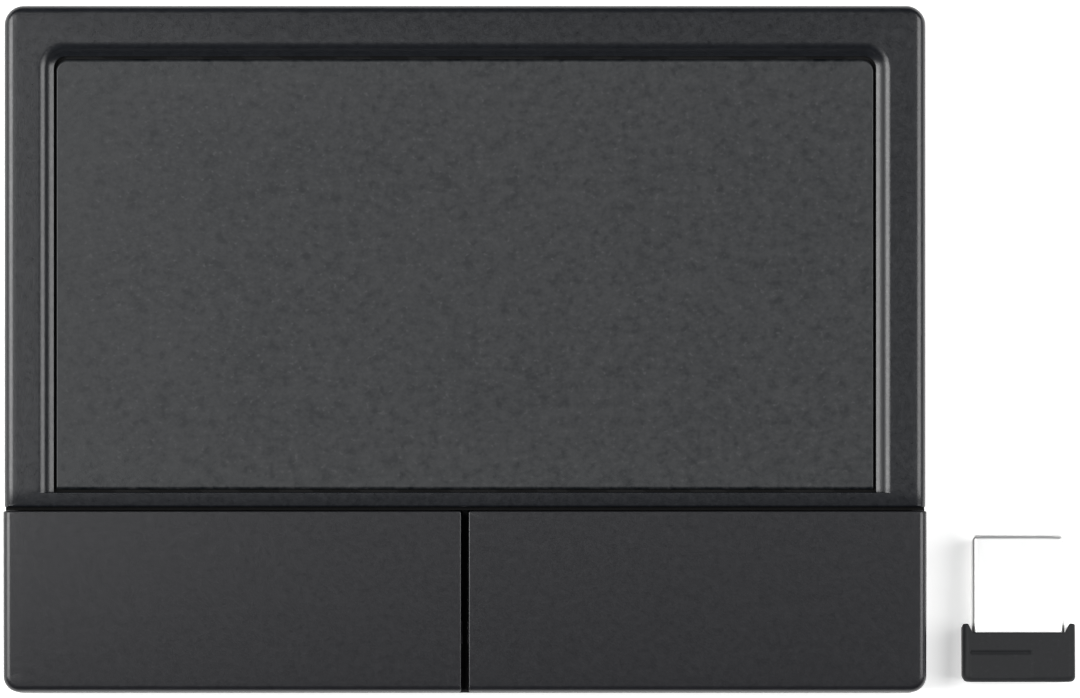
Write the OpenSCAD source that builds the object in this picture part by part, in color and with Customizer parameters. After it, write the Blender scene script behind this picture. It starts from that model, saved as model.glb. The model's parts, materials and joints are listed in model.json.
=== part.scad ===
// A compact two-button touchpad and the plug-in radio receiver that comes with it.
// Lengths are millimetres. The set stands on z = 0, with +Y to the rear of the pad.
// The deck is the sloping top of the frame. Pieces that lie along it are drawn in the
// deck's own frame, where x and y run along the top and z = 0 is its surface.

/* [Casing] */
// Width across the frame
body_w = 120; // [116:0.5:140]
// Depth along the sloping top
body_d = 89.5; // [86:0.5:105]
// Radius of the upright corners at the rear
rear_corner_r = 2.5; // [2:0.1:3.5]
// Radius of the upright corners at the front
front_corner_r = 2.1; // [1.6:0.1:3]
// Rounding along the upper outer edges
edge_r = 1.2; // [0.6:0.1:1.4]
// Rounding along the lower edges of the base
base_edge_r = 1; // [0.4:0.1:1.4]
// Thickness of the side walls
wall_t = 2; // [1.6:0.1:2.4]
// Depth of the parting line below the top
parting_h = 5.6; // [5.2:0.1:6.4]
// Thickness of the base's floor
floor_t = 1.8; // [1.6:0.1:2.4]
// How far the base stands out past the front of the buttons
base_nose = 0.15; // [0:0.05:0.4]
// Height of the lip on the base that centres the frame
lip_h = 1.2; // [0.8:0.1:1.6]
// Thickness of that lip
lip_t = 1; // [0.8:0.1:1.2]
// Clearance round the lip
lip_gap = 0.1; // [0.05:0.05:0.2]
// Radius of the corners inside the walls
inner_r = 1; // [0.6:0.1:1.5]

/* [Frame and recess] */
// Flat border from the outer side to the rim of the recess
side_border = 4.44; // [4:0.1:7]
// Flat border from the rear to the rim of the recess
rear_border = 4.62; // [4:0.1:7]
// Width of the bar between the pad and the buttons
sill_w = 1.7; // [1.4:0.1:3]
// Rounding of that bar towards the buttons
sill_r = 1; // [0.6:0.1:1.2]
// Plan radius of the recess rim at its rear corners
recess_corner_r = 3.6; // [3:0.1:5]
// Radius of the recess wall where it leaves the border
wall_top_r = 1.4; // [1:0.1:1.6]
// Radius of the recess wall at its foot
wall_foot_r = 1; // [0.8:0.1:1.2]
// Steepest slope of the recess wall, in degrees
wall_slope = 55; // [45:1:60]

/* [Touch pad] */
// Open joint between the overlay and the frame
pad_gap = 0.53; // [0.3:0.05:0.8]
// Plan radius of the overlay at its rear corners
pad_corner_r = 1.4; // [1:0.1:2]
// How far the overlay lies below the foot of the recess wall
pad_drop = 0.05; // [0:0.05:0.3]
// Thickness of the overlay
overlay_t = 0.5; // [0.4:0.05:0.8]
// Thickness of the adhesive under the overlay
adhesive_t = 0.15; // [0.1:0.05:0.3]
// Thickness of the tape between the sensor board and the frame
tape_t = 0.1; // [0.05:0.05:0.2]
// Thickness of the sensor board
sensor_t = 1; // [0.8:0.1:1.6]
// Width of the sensor board's edge that is taped to the frame
tape_w = 1; // [0.8:0.1:1.2]

/* [Buttons] */
// Depth of a button from front to rear
button_d = 23.65; // [22:0.5:26]
// Open joint between the buttons and the frame
button_seam = 0.75; // [0.5:0.05:1]
// Open joint between the two buttons
button_gap = 1.1; // [0.9:0.1:1.6]
// How far a button stands out past the side of the frame
button_over = 0.15; // [0:0.05:0.3]
// Depth of the button top's underside below the deck
button_t = 2.4; // [2.2:0.1:2.8]
// Fall of the button's crown from rear to front
crown_drop = 0.9; // [0.4:0.1:1.2]
// Depth of the button's skirt below the deck
skirt_h = 4.8; // [4.4:0.1:4.9]
// Thickness of the button's skirt
skirt_t = 1.6; // [1.2:0.1:1.8]
// Height of the rib along the joint between the buttons
joint_rib_h = 1; // [0.6:0.1:1.4]
// Thickness of that rib
joint_rib_t = 1.2; // [1:0.1:1.6]
// Rounding of the small edges at the joints
small_r = 0.25; // [0.1:0.05:0.4]

/* [Button hinges] */
// Distance of the hinge axis from the rear edge of the button
hinge_back = 1.7; // [1.6:0.1:2.4]
// Depth of the hinge axis below the deck
hinge_h = 4.6; // [4.5:0.1:5]
// Distance of the inner ear from the middle
hinge_in = 8; // [7:0.5:12]
// Distance of the outer ear from the side of the frame
hinge_out_inset = 10; // [9.5:0.5:14]
// Radius of the hinge pins
pin_r = 1.2; // [1:0.1:1.3]
// Radial play of a pin in its post
pin_play = 0.05; // [0.03:0.01:0.1]
// Thickness of a button's ear
ear_t = 2; // [1.6:0.1:2.4]
// Thickness of a hinge post
post_t = 2; // [1.6:0.1:2.4]
// Side play between an ear and its post
side_play = 0.2; // [0.1:0.05:0.3]

/* [Boards and switches] */
// Thickness of the main board
board_t = 1; // [0.8:0.1:1.2]
// Distance of the main board's rear edge behind the front of the deck
board_rear = 19.4; // [18:0.2:19.6]
// Depth of the main board
board_d = 14.3; // [13.6:0.2:14.8]
// Distance of the main board's ends from the sides of the frame
board_inset = 9; // [8:0.5:12]
// Height of the push switch bodies
switch_h = 2.6; // [2.2:0.1:3]
// Side length of a push switch body
switch_w = 6; // [5:0.1:6.4]
// Distance of the push switches from the middle
switch_x = 30; // [26:0.5:36]
// Distance of the push switches behind the front of the deck
switch_y = 9.75; // [9:0.25:11]
// Diameter of a switch plunger
plunger_d = 3.4; // [3:0.1:3.8]
// Height of a plunger above its switch at rest
plunger_h = 0.7; // [0.6:0.1:1]
// Length of the stud under a button that meets the plunger
stud_h = 0.75; // [0.6:0.05:1]
// Play between the stud and the plunger
press_gap = 0.05; // [0.05:0.01:0.1]
// Least room between the main board and the floor
board_room = 0.5; // [0.4:0.1:0.8]

/* [Battery bay] */
// Diameter of a cell
cell_d = 10.5; // [10:0.1:11]
// Length of a cell
cell_l = 44.5; // [43.5:0.1:45.5]
// Length taken by the spring at rest
spring_l = 7.4; // [6:0.2:9]
// Thickness of the contact plates
contact_t = 0.4; // [0.3:0.1:0.6]
// Clearance between a cell and the bay
cell_gap = 0.3; // [0.2:0.05:0.5]
// Thickness of the bay's walls
bay_t = 0.8; // [0.6:0.1:1]
// Distance of the cells' axis from the rear edge of the deck
cell_back = 8.15; // [8:0.05:9]
// Headroom between the bay and the sensor board
bay_headroom = 0.45; // [0.3:0.05:0.8]
// Thickness of the battery door
door_t = 1.6; // [1.4:0.1:1.7]
// Running clearance of the door
door_gap = 0.12; // [0.08:0.02:0.2]
// Width of the tongues along the door's ends
door_tongue = 1; // [0.8:0.1:1.2]

/* [Power slider] */
// Distance of the slider from the middle, to the left
slider_x = 22; // [20:0.5:28]
// Travel of the slider
slider_travel = 2; // [1.5:0.1:3]
// Length of the slider's finger pad
slider_w = 5; // [4:0.2:6]
// Running clearance of the slider
slider_gap = 0.15; // [0.1:0.05:0.25]

/* [Fasteners and feet] */
// Distance of the housing screws from the side of the frame
screw_inset = 3.7; // [3.6:0.1:3.9]
// Distance of the front housing screws behind the front of the deck
screw_front = 32.75; // [30:0.25:36]
// Distance of the rear housing screws from the rear of the deck
screw_rear = 28; // [26:0.25:32]
// Diameter of a housing screw
screw_d = 2; // [1.8:0.1:2.2]
// Diameter of a screw head
head_d = 3.6; // [3.4:0.1:3.8]
// Height of a screw head
head_h = 1.3; // [1.1:0.1:1.5]
// Plastic held under a screw head
screw_grip = 3.4; // [3:0.1:4]
// Depth of a screw in the frame
screw_bite = 3; // [2.5:0.1:3.4]
// Diameter of the rubber feet
foot_d = 7; // [6:0.2:7.4]
// Height of the feet below the base
foot_h = 1.2; // [0.8:0.1:1.6]
// Depth of a foot's pocket in the base
foot_sink = 0.5; // [0.3:0.1:0.7]
// Distance of the feet from the side of the frame
foot_inset = 5; // [4.8:0.1:5.2]
// Distance of the front feet behind the front of the deck
foot_front = 8; // [7:0.5:12]
// Space between the battery door and the rear feet
foot_shy = 1.4; // [1:0.1:2]

/* [Receiver] */
// Space between the trackpad and the receiver
recv_gap = 5; // [2:0.5:20]
// Distance of the receiver's grip behind the front of the trackpad
recv_back = 1.4; // [0:0.2:30]
// Width of the grip
grip_w = 14.7; // [14:0.1:17]
// Length of the grip
grip_l = 6.6; // [6:0.1:12]
// Thickness of the grip
grip_t = 6.5; // [6:0.1:8]
// Length of the cheeks beside the plug
cheek_l = 0.95; // [0.5:0.05:2]
// Rounding of the grip's edges
grip_r = 0.9; // [0.5:0.1:0.9]
// Width of the plug's metal sleeve
plug_w = 12; // [11.8:0.1:12.2]
// Height of the sleeve
plug_h = 4.5; // [4.4:0.1:4.6]
// Length of the sleeve that shows
plug_l = 12.8; // [11:0.1:14]
// Sheet thickness of the sleeve
plug_t = 0.3; // [0.25:0.01:0.4]

/* [Hidden] */
$fn = 48;
eps = 0.01;
far = 60;

// How far a cut runs past a face, how far joined solids run into each other, and the room round pieces
// that only pass each other
past = 1;
join = 0.3;
clear = 0.2;

// Edges of the deck and its main lines, along the deck
side = body_w / 2;
front = -body_d / 2;
rear = body_d / 2;
nose = front - base_nose;
button_rear = front + button_d;
frame_front = button_rear + button_seam;
window_front = frame_front + sill_w;
rim_half = side - side_border;
rim_rear = rear - rear_border;

// The recess wall is two arcs that meet at its steepest slope
wall_run = (wall_top_r + wall_foot_r) * sin(wall_slope);
recess_h = (wall_top_r + wall_foot_r) * (1 - cos(wall_slope));
window_half = rim_half - wall_run;
window_rear = rim_rear - wall_run;
window_r = recess_corner_r - wall_run;

// Layers under the pad
overlay_top = recess_h + pad_drop;
adhesive_top = overlay_top + overlay_t;
sensor_top = adhesive_top + adhesive_t;
sensor_under = sensor_top + sensor_t;
plate_t = sensor_top - tape_t;
sensor_half = window_half + tape_w;
sensor_front = window_front - tape_w;
sensor_rear = window_rear + tape_w;

// Layers under the buttons
plunger_top = button_t + stud_h + press_gap;
switch_top = plunger_top + plunger_h;
board_top = switch_top + switch_h;
board_under = board_top + board_t;
board_back = front + board_rear;
board_front = board_back - board_d;
board_half = side - board_inset;
board_mid = (board_front + board_back) / 2;
press_y = front + switch_y;
switch_floor = 0.6;
stud_d = 4;
ear_r = pin_r + 0.5;
post_wall = 1;
snap_h = 0.7;
hinge_y = button_rear - hinge_back;
hinge_out = side - hinge_out_inset;
posts_x = [hinge_in - ear_t / 2 - side_play - post_t, hinge_out + ear_t / 2 + side_play];

// Heights above the desk
underside = foot_h;
floor_top = underside + floor_t;
door_top = underside + door_t;
cell_r = cell_d / 2;
cell_z = door_top + cell_gap + cell_r;
cell_y = rear - cell_back;
bay_r = cell_r + cell_gap;
bay_out_r = bay_r + bay_t;

// The slope lets the deck clear the battery bay and the main board clear the floor
board_floor = floor_top + board_room;
bay_need = bay_out_r + bay_headroom + sensor_under;
function settle(t, n) = n == 0 ? t : settle(asin((bay_need - (board_floor - cell_z) * cos(t)
    - board_under * cos(t) * cos(t)) / (cell_y - board_front * cos(t))), n - 1);
tilt = settle(5, 12);
deck_z = board_floor - board_front * sin(tilt) + board_under * cos(tilt);
function desk_y(y, z) = y * cos(tilt) - z * sin(tilt);
function desk_z(y, z) = deck_z + y * sin(tilt) + z * cos(tilt);
function deck_depth(y, height) = (height - deck_z - y * sin(tilt)) / cos(tilt);

// Battery bay along X
bay_half = cell_l + (spring_l + 2 * contact_t) / 2;
spring_x = -bay_half + contact_t;
cell_left_x = spring_x + spring_l;
cell_right_x = cell_left_x + cell_l;
door_half = bay_half + bay_t;
door_front = cell_y - bay_r - bay_t;
tongue_z = underside + 0.5;
tongue_t = 0.6;
tail_down = 3;
tail_y = cell_y - tail_down;
tail_w = 2;
tail_z = cell_z - tail_down;
tail_out = 1.6;
nub_h = 0.8;
nub_r = 1.9;

// Fasteners
screw_x = side - screw_inset;
screw_ys = [front + screw_front, rear - screw_rear];
boss_r = screw_inset - wall_t + 0.3;
sleeve_r = head_d / 2 + 0.7;
bore_gap = 0.1;
board_screw_in = 4;
board_screw_rear = 3;
board_screw_front = 2.6;
board_screws_at = [[board_screw_in - board_half, board_back - board_screw_rear],
    [board_half - board_screw_in, board_back - board_screw_rear], [0, board_front + board_screw_front]];
board_screw_d = 1.4;
board_head_d = 3;
board_head_h = 0.9;
board_screw_l = 2.6;
board_post_d = board_head_d + 1.4;
rib_first = 20;
rib_apart = 14;
rib_t = 1.2;
rib_half = 40;
rib_ys = [window_front + rib_first, window_front + rib_first + rib_apart];
sunk = 0.4;
foot_x = side - foot_inset;
foot_ys = [front + foot_front, door_front - foot_shy - foot_d / 2];

// Slider and the switch that it moves
slider_y = desk_y(board_back + 2, -board_under);
slider_in_w = slider_w + 2;
well_h = 1;
pad_d = 4;
stem_d = 1.8;
stem_w = 3;
lever_w = 1.3;
lever_l = 1.7;
lever_t = 0.6;
power_h = 1.4;
power_w = 6.7;
power_d = 2.7;
power_y = board_back - power_d;

// Chips, connectors and ribbon
chip_h = 0.9;
controller_x = -16;
controller_w = 7;
controller_shy = 2.4;
radio_x = -12;
radio_w = 5;
crystal_x = -18;
crystal_w = 3.2;
crystal_d = 2.5;
crystal_h = 0.8;
chips_x = [-24.5, 6];
chips_in = 2.4;
chips_pitch = 2.6;
small_w = 1.6;
small_d = 0.8;
small_h = 0.6;
ribbon_x = 18;
ribbon_w = 11;
ribbon_t = 0.2;
conn_w = 13;
conn_d = 3.4;
conn_h = 1.2;
conn_mid = conn_h / 2;
conn_back = 11;
sensor_conn_y = window_front + conn_back;
board_conn_y = board_back - conn_d - 0.6;

// Places of the set, so that its box is centred on the origin
recv_x = side + recv_gap + grip_w / 2;
front_reach = desk_y(front, -crown_drop - edge_r);
rear_reach = desk_y(rear, deck_depth(rear, underside + base_edge_r));
set_x = (button_over - recv_gap - grip_w) / 2;
set_y = -(front_reach + rear_reach) / 2;
recv_y = front_reach + recv_back;
plug_z = grip_t / 2;
plug_in = 1.4;
plug_end = grip_l + plug_l;
tongue_under = plug_z - plug_h / 2 + plug_t;
plug_tongue_t = 1.95;
tongue_top = tongue_under + plug_tongue_t;
tongue_back = grip_l + past;
stick_t = 0.8;
strip_near = 1;
strip_far = 3.5;
strip_w = 1;
strip_t = 0.15;

// Routes of the battery leads, for the right side; the left one is mirrored
lead_d = 1.2;
lead_x = bay_half + bay_t;
lead_route = [[lead_x + tail_out, tail_y + 1, tail_z + 1.35], [lead_x + 2.2, 30, 5.2], [lead_x + 0.6, 25, 4.2],
    [lead_x - 3, 18, 3.9], [lead_x - 3.4, 8, 3.9], [46, -6, 3.9], [46, -15, 4.2], [44, -20.5, 6.2],
    [42, -23.5, 7.2], [41, -25.6, 6.55]];

frame_black = "#3a3b3c";
button_black = "#38393a";
pad_grey = "#464748";
base_black = "#2a2b2c";
board_green = "#1f5a3a";
chip_black = "#161616";
bright = "#c9ccd0";
gold = "#caa24a";

// Places
module placed() { translate([set_x, set_y, 0]) children(); }
module deck() { translate([0, 0, deck_z]) rotate([tilt, 0, 0]) children(); }
module at_receiver() { translate([recv_x, recv_y, 0]) children(); }

// Extrusions of a drawing: (x, z) along Y, and (y, z) along X
module along_y(y0, y1) { translate([0, y1, 0]) rotate([90, 0, 0]) linear_extrude(y1 - y0) children(); }
module along_x(x0, x1) { translate([x0, 0, 0]) rotate([90, 0, 90]) linear_extrude(x1 - x0) children(); }

// Points of an arc, from one angle to another
function arc(x, y, r, from, to, n = 6) =
    [for (i = [0:n]) let (a = from + (to - from) * i / n) [x + r * cos(a), y + r * sin(a)]];

// Rectangle centred on x = 0 with its own front and rear corner radii
module plan(w, y0, y1, rf, rr) {
    translate([-w / 2, y0 + rf]) square([w, y1 - rr - y0 - rf]);
    translate([rf - w / 2, y0]) square([w - 2 * rf, rf + eps]);
    translate([rr - w / 2, y1 - rr - eps]) square([w - 2 * rr, rr + eps]);
    for (s = [-1, 1]) {
        translate([s * (w / 2 - rf), y0 + rf]) circle(rf);
        translate([s * (w / 2 - rr), y1 - rr]) circle(rr);
    }
}

// Plate of that outline between two depths below the deck
module slab(w, y0, y1, rf, rr, top, bottom) {
    translate([0, 0, -bottom]) linear_extrude(bottom - top) plan(w, y0, y1, rf, rr);
}

// Box given by its lowest and highest corners
module box(low, high) { translate(low) cube(high - low); }

// Everything above a height over the desk
module above(height) { translate([-2 * far, -2 * far, height]) cube([4 * far, 4 * far, far]); }

// Loop of points round a rounded rectangle, at a depth
function loop(half, y0, y1, rf, rr, z, n) = [for (p = concat(
    arc(half - rr, y1 - rr, rr, 0, 90, n), arc(rr - half, y1 - rr, rr, 90, 180, n),
    arc(rf - half, y0 + rf, rf, 180, 270, n), arc(half - rf, y0 + rf, rf, 270, 360, n))) [p.x, p.y, z]];

// Closed solid through loops that have the same number of points
module loft(loops) {
    n = len(loops[0]);
    last = len(loops) - 1;
    points = [for (ring = loops) each ring];
    sides = [for (k = [0:last - 1], i = [0:n - 1]) let (a = k * n + i, b = k * n + (i + 1) % n)
        each [[a, a + n, b], [b, a + n, b + n]]];
    caps = [for (i = [1:n - 2]) each [[0, i, i + 1], [last * n, last * n + i + 1, last * n + i]]];
    polyhedron(points, concat(sides, caps));
}

// Smooth route through hand-picked points, four steps to each
function spline(p, i, t) = let (a = p[max(i - 1, 0)], b = p[i], c = p[i + 1], d = p[min(i + 2, len(p) - 1)])
    (2 * b + (c - a) * t + (2 * a - 5 * b + 4 * c - d) * t * t + (3 * b - a - 3 * c + d) * t * t * t) / 2;
function smooth(p, steps) = concat([for (i = [0:len(p) - 2], k = [0:steps - 1]) spline(p, i, k / steps)],
    [p[len(p) - 1]]);

// Round tube along a route
module tube(route, r, sides) {
    last = len(route) - 1;
    function unit(v) = v / norm(v);
    loft([for (k = [0:last]) let (
        run = unit(route[min(k + 1, last)] - route[max(k - 1, 0)]),
        across = unit(cross(run, [0.31, 0.2, 0.93])), up = cross(across, run))
        [for (i = [0:sides - 1]) let (a = -360 * i / sides) route[k] + r * (cos(a) * across + sin(a) * up)]]);
}

// Top frame
module frame_block() {
    intersection() {
        slab(body_w, frame_front, rear, small_r, rear_corner_r, 0, parting_h);
        along_y(frame_front - past, rear + past) polygon(concat([[-side, -far], [side, -far]],
            arc(side - edge_r, -edge_r, edge_r, 0, 90), arc(edge_r - side, -edge_r, edge_r, 90, 180)));
        along_x(-side - past, side + past) polygon(concat([[frame_front, -far], [rear, -far]],
            arc(rear - edge_r, -edge_r, edge_r, 0, 90), arc(frame_front + sill_r, -sill_r, sill_r, 90, 180)));
    }
}
module recess() {
    turns = 5;
    step = wall_slope / turns;
    foot = [for (a = [0:step:wall_slope - step / 2]) [wall_run - wall_foot_r * sin(a),
        recess_h - wall_foot_r * (1 - cos(a))]];
    top = [for (i = [turns:-1:0]) let (a = step * i) [wall_top_r * sin(a), wall_top_r * (1 - cos(a))]];
    loft([for (w = concat(foot, top, [[0, -past]]))
        loop(rim_half - w.x, window_front, rim_rear - w.x, small_r, recess_corner_r - w.x, -w.y, turns)]);
}
module screw_places() {
    for (s = [-1, 1], y = screw_ys) translate([s * screw_x, y, 0]) children();
}
module top_frame() {
    blade_w = button_gap - 3 * clear;
    blade_h = parting_h - lip_h - lip_gap;
    blade_front = front + 2 * clear;
    blade_rear = sensor_front - lip_gap;
    color(frame_black) deck() difference() {
        union() {
            difference() {
                frame_block();
                slab(body_w - 2 * wall_t, frame_front - far, rear - wall_t, inner_r, inner_r, plate_t,
                    parting_h + past);
            }
            screw_places() translate([0, 0, -parting_h]) cylinder(r = boss_r, h = parting_h - plate_t + join);
            // Blade that fills the joint between the buttons from below
            box([-blade_w / 2, blade_front, -blade_h], [blade_w / 2, blade_rear, -button_t - clear]);
            box([-blade_w / 2, frame_front, -blade_h], [blade_w / 2, blade_rear, join - plate_t]);
        }
        recess();
        slab(2 * window_half, window_front, window_rear, small_r, window_r, 0, plate_t + past);
        screw_places() translate([0, 0, -parting_h - past])
            cylinder(d = screw_d + bore_gap, h = past + screw_bite + clear);
    }
}

// Pad layers
module touch_overlay() {
    color(pad_grey) deck() slab(2 * (window_half - pad_gap), window_front + pad_gap, window_rear - pad_gap,
        small_r, pad_corner_r, overlay_top, adhesive_top);
}
module overlay_adhesive() {
    shy = pad_gap + 2 * clear;
    color("#d8d4c4") deck() slab(2 * (window_half - shy), window_front + shy, window_rear - shy, small_r,
        pad_corner_r, adhesive_top, sensor_top);
}
module bezel_tape() {
    color("#101010") deck() difference() {
        slab(2 * sensor_half, sensor_front, sensor_rear, small_r, pad_corner_r, plate_t, sensor_top);
        slab(2 * window_half, window_front, window_rear, small_r, window_r, 0, sensor_top + past);
        boss_notches();
    }
}
module boss_notches() {
    screw_places() translate([0, 0, -parting_h]) cylinder(r = boss_r + clear, h = parting_h);
}
module sensor_board() {
    color(board_green) deck() difference() {
        slab(2 * sensor_half, sensor_front, sensor_rear, small_r, pad_corner_r, sensor_top, sensor_under);
        boss_notches();
    }
}
module touch_controller() {
    back = rib_ys[0] + rib_t + controller_shy;
    color(chip_black) deck() translate([controller_x, back, -sensor_under - chip_h])
        cube([controller_w, controller_w, chip_h]);
}

// Ribbon and its connectors
module connector(y, z) {
    color("#e6e2d6") deck() translate([ribbon_x - conn_w / 2, y, z]) cube([conn_w, conn_d, conn_h]);
}
module sensor_connector() { connector(sensor_conn_y, -sensor_under - conn_h); }
module board_connector() { connector(board_conn_y, -board_top); }
module ribbon_cable() {
    start = [board_conn_y + conn_d, -board_top + conn_mid];
    end = [sensor_conn_y, -sensor_under - conn_mid];
    steps = 16;
    line = [for (i = [0:steps]) let (t = i / steps, rise = t * t * (3 - 2 * t))
        [start.x + (end.x - start.x) * t, start.y + (end.y - start.y) * rise]];
    color("#ded9c8") deck() along_x(ribbon_x - ribbon_w / 2, ribbon_x + ribbon_w / 2) polygon(concat(
        [for (p = line) p - [0, ribbon_t / 2]], [for (i = [steps:-1:0]) line[i] + [0, ribbon_t / 2]]));
}

// Main board and what is on it
module main_board() {
    color(board_green) deck() difference() {
        box([-board_half, board_front, -board_under], [board_half, board_back, -board_top]);
        for (p = board_screws_at) translate([p.x, p.y, -board_under - past])
            cylinder(d = board_screw_d + 2 * clear, h = board_t + 2 * past);
    }
}
module on_board(x, y, size) {
    deck() translate([x - size.x / 2, y - size.y / 2, -board_top]) cube(size);
}
module radio_chip() { color(chip_black) on_board(radio_x, board_mid, [radio_w, radio_w, chip_h]); }
module crystal_can() { color(bright) on_board(crystal_x, board_mid, [crystal_w, crystal_d, crystal_h]); }
module board_parts() {
    row = 5;
    color("#b08d57") for (start = chips_x, i = [0:row - 1])
        on_board(start + chips_pitch * i, board_front + chips_in, [small_w, small_d, small_h]);
}
module switch_body(s) {
    color("#1b1b1b") deck() translate([s * switch_x, press_y, -board_top]) difference() {
        translate([-switch_w / 2, -switch_w / 2, 0]) cube([switch_w, switch_w, switch_h]);
        translate([0, 0, switch_floor]) cylinder(d = plunger_d + clear, h = switch_h);
    }
}
module left_switch_body() { switch_body(-1); }
module right_switch_body() { switch_body(1); }
module switch_plunger(s) {
    length = switch_h - 2 * switch_floor + plunger_h;
    color("#8a2b22") deck() translate([s * switch_x, press_y, -plunger_top - length])
        cylinder(d = plunger_d, h = length);
}
module left_switch_plunger() { switch_plunger(-1); }
module right_switch_plunger() { switch_plunger(1); }

// Buttons, drawn for the right side
function crown(y) = -crown_drop * pow((button_rear - y) / button_d, 2);
module button_block() {
    inner = button_gap / 2;
    outer = side + button_over;
    bend = front + edge_r;
    steps = 8;
    fall = atan(2 * crown_drop / button_d);
    intersection() {
        translate([0, 0, -skirt_h]) linear_extrude(skirt_h) intersection() {
            translate([inner, front]) square([outer - inner, button_d]);
            plan(2 * outer, front, button_rear, front_corner_r, small_r);
        }
        along_y(front - past, button_rear + past) polygon(concat([[inner, -far], [outer, -far]],
            arc(outer - edge_r, -edge_r, edge_r, 0, 90), arc(inner + small_r, -small_r, small_r, 90, 180, 3)));
        along_x(inner - past, outer + past) polygon(concat([[front, -far], [button_rear, -far]],
            arc(button_rear - small_r, -small_r, small_r, 0, 90, 3),
            [for (i = [1:steps]) let (y = button_rear - (button_rear - bend) * i / steps) [y, crown(y)]],
            arc(bend, crown(bend) - edge_r, edge_r, 90 + fall, 180)));
    }
}
module button() {
    inner = button_gap / 2;
    outer = side + button_over;
    difference() {
        button_block();
        box([inner + joint_rib_t, front + skirt_t, -far], [outer - skirt_t, button_rear + past, -button_t]);
        box([inner - past, front + skirt_t, -far],
            [outer - skirt_t, button_rear + past, -button_t - joint_rib_h]);
    }
    // Ears with their pins, which face away from each other
    for (ear = [[hinge_in, -1], [hinge_out, 1]]) {
        box([ear[0] - ear_t / 2, hinge_y - ear_r, -hinge_h], [ear[0] + ear_t / 2, hinge_y + ear_r,
            join - button_t]);
        translate([ear[0] - ear_t / 2, hinge_y, -hinge_h]) rotate([0, 90, 0]) cylinder(r = ear_r, h = ear_t);
        translate([ear[0], hinge_y, -hinge_h]) rotate([0, ear[1] * 90, 0])
            cylinder(r = pin_r, h = ear_t / 2 + side_play + post_t);
    }
    translate([switch_x, press_y, -button_t - stud_h]) cylinder(d = stud_d, h = stud_h + join);
}
module right_button() { color(button_black) deck() button(); }
module left_button() { color(button_black) deck() mirror([1, 0, 0]) button(); }

// Base shell
module base_block() {
    corner = function (y, z) [desk_y(y, z), desk_z(y, z)];
    intersection() {
        deck() slab(body_w, nose, rear, front_corner_r, rear_corner_r, parting_h, far);
        along_x(-side - past, side + past) offset(r = base_edge_r) offset(delta = -base_edge_r) polygon(
            [corner(nose, 0), corner(nose, deck_depth(nose, underside)),
            corner(rear, deck_depth(rear, underside)), corner(rear, 0)]);
        along_y(-far, far) offset(r = base_edge_r) offset(delta = -base_edge_r)
            translate([-side, underside]) square([body_w, far]);
    }
}
module base_cavity() {
    intersection() {
        deck() slab(body_w - 2 * wall_t, nose + wall_t, rear - wall_t, inner_r, inner_r, -past, far);
        above(floor_top);
    }
}
module base_lip() {
    inside = wall_t + lip_gap + lip_t;
    module ring(gap, top, bottom) {
        deck() difference() {
            slab(body_w - 2 * (wall_t + gap), nose + wall_t + gap, rear - wall_t - gap, inner_r, inner_r, top,
                bottom);
            slab(body_w - 2 * inside, nose + inside, rear - inside, inner_r / 2, inner_r / 2, top - past,
                bottom + past);
        }
    }
    ring(lip_gap, parting_h - lip_h, parting_h);
    ring(-clear, parting_h, parting_h + lip_h);
}
module bay(r, half, low) {
    along_x(-half, half) {
        translate([cell_y, cell_z]) circle(r);
        translate([cell_y - r, low]) square([2 * r, cell_z - low]);
    }
}
module hinge_post(x) {
    half = pin_r + post_wall;
    box([x, hinge_y - half, -far], [x + post_t, hinge_y + half, pin_r + snap_h - hinge_h]);
}
module hinge_bores() {
    snap = 1.5 * pin_r;
    for (s = [0, 1], x = posts_x) mirror([s, 0, 0]) translate([x - past, hinge_y, -hinge_h]) {
        rotate([0, 90, 0]) cylinder(r = pin_r + pin_play, h = post_t + 2 * past);
        translate([0, -snap / 2, 0]) cube([post_t + 2 * past, snap, far]);
    }
}
module base_posts() {
    intersection() {
        deck() {
            screw_places() translate([0, 0, -far]) cylinder(r = sleeve_r, h = far - parting_h);
            for (p = board_screws_at) translate([p.x, p.y, -far]) cylinder(d = board_post_d,
                h = far - board_under);
            for (s = [0, 1], x = posts_x) mirror([s, 0, 0]) hinge_post(x);
            // Ribs that back the sensor board
            for (y = rib_ys) box([-rib_half, y, -far], [rib_half, y + rib_t, -sensor_under - clear]);
        }
        above(underside + sunk);
        deck() slab(body_w - wall_t, front, rear - wall_t / 2, inner_r, inner_r, 0, far);
    }
}
module door_cut() {
    gap = door_gap;
    box([-door_half - gap, door_front - gap, -past], [door_half + gap, far, door_top + gap]);
    box([-door_half - door_tongue - gap, door_front - gap, tongue_z - gap],
        [door_half + door_tongue + gap, far, tongue_z + tongue_t + gap]);
}
module slider_cut() {
    gap = slider_gap;
    half = (slider_w + slider_travel) / 2 + gap;
    translate([-slider_x + slider_travel / 2, slider_y, 0]) {
        box([-half, -pad_d / 2 - gap, -past], [half, pad_d / 2 + gap, underside + well_h]);
        box([-(stem_w + slider_travel) / 2 - gap, -stem_d / 2 - gap, -past],
            [(stem_w + slider_travel) / 2 + gap, stem_d / 2 + gap, floor_top + past]);
    }
}
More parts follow.
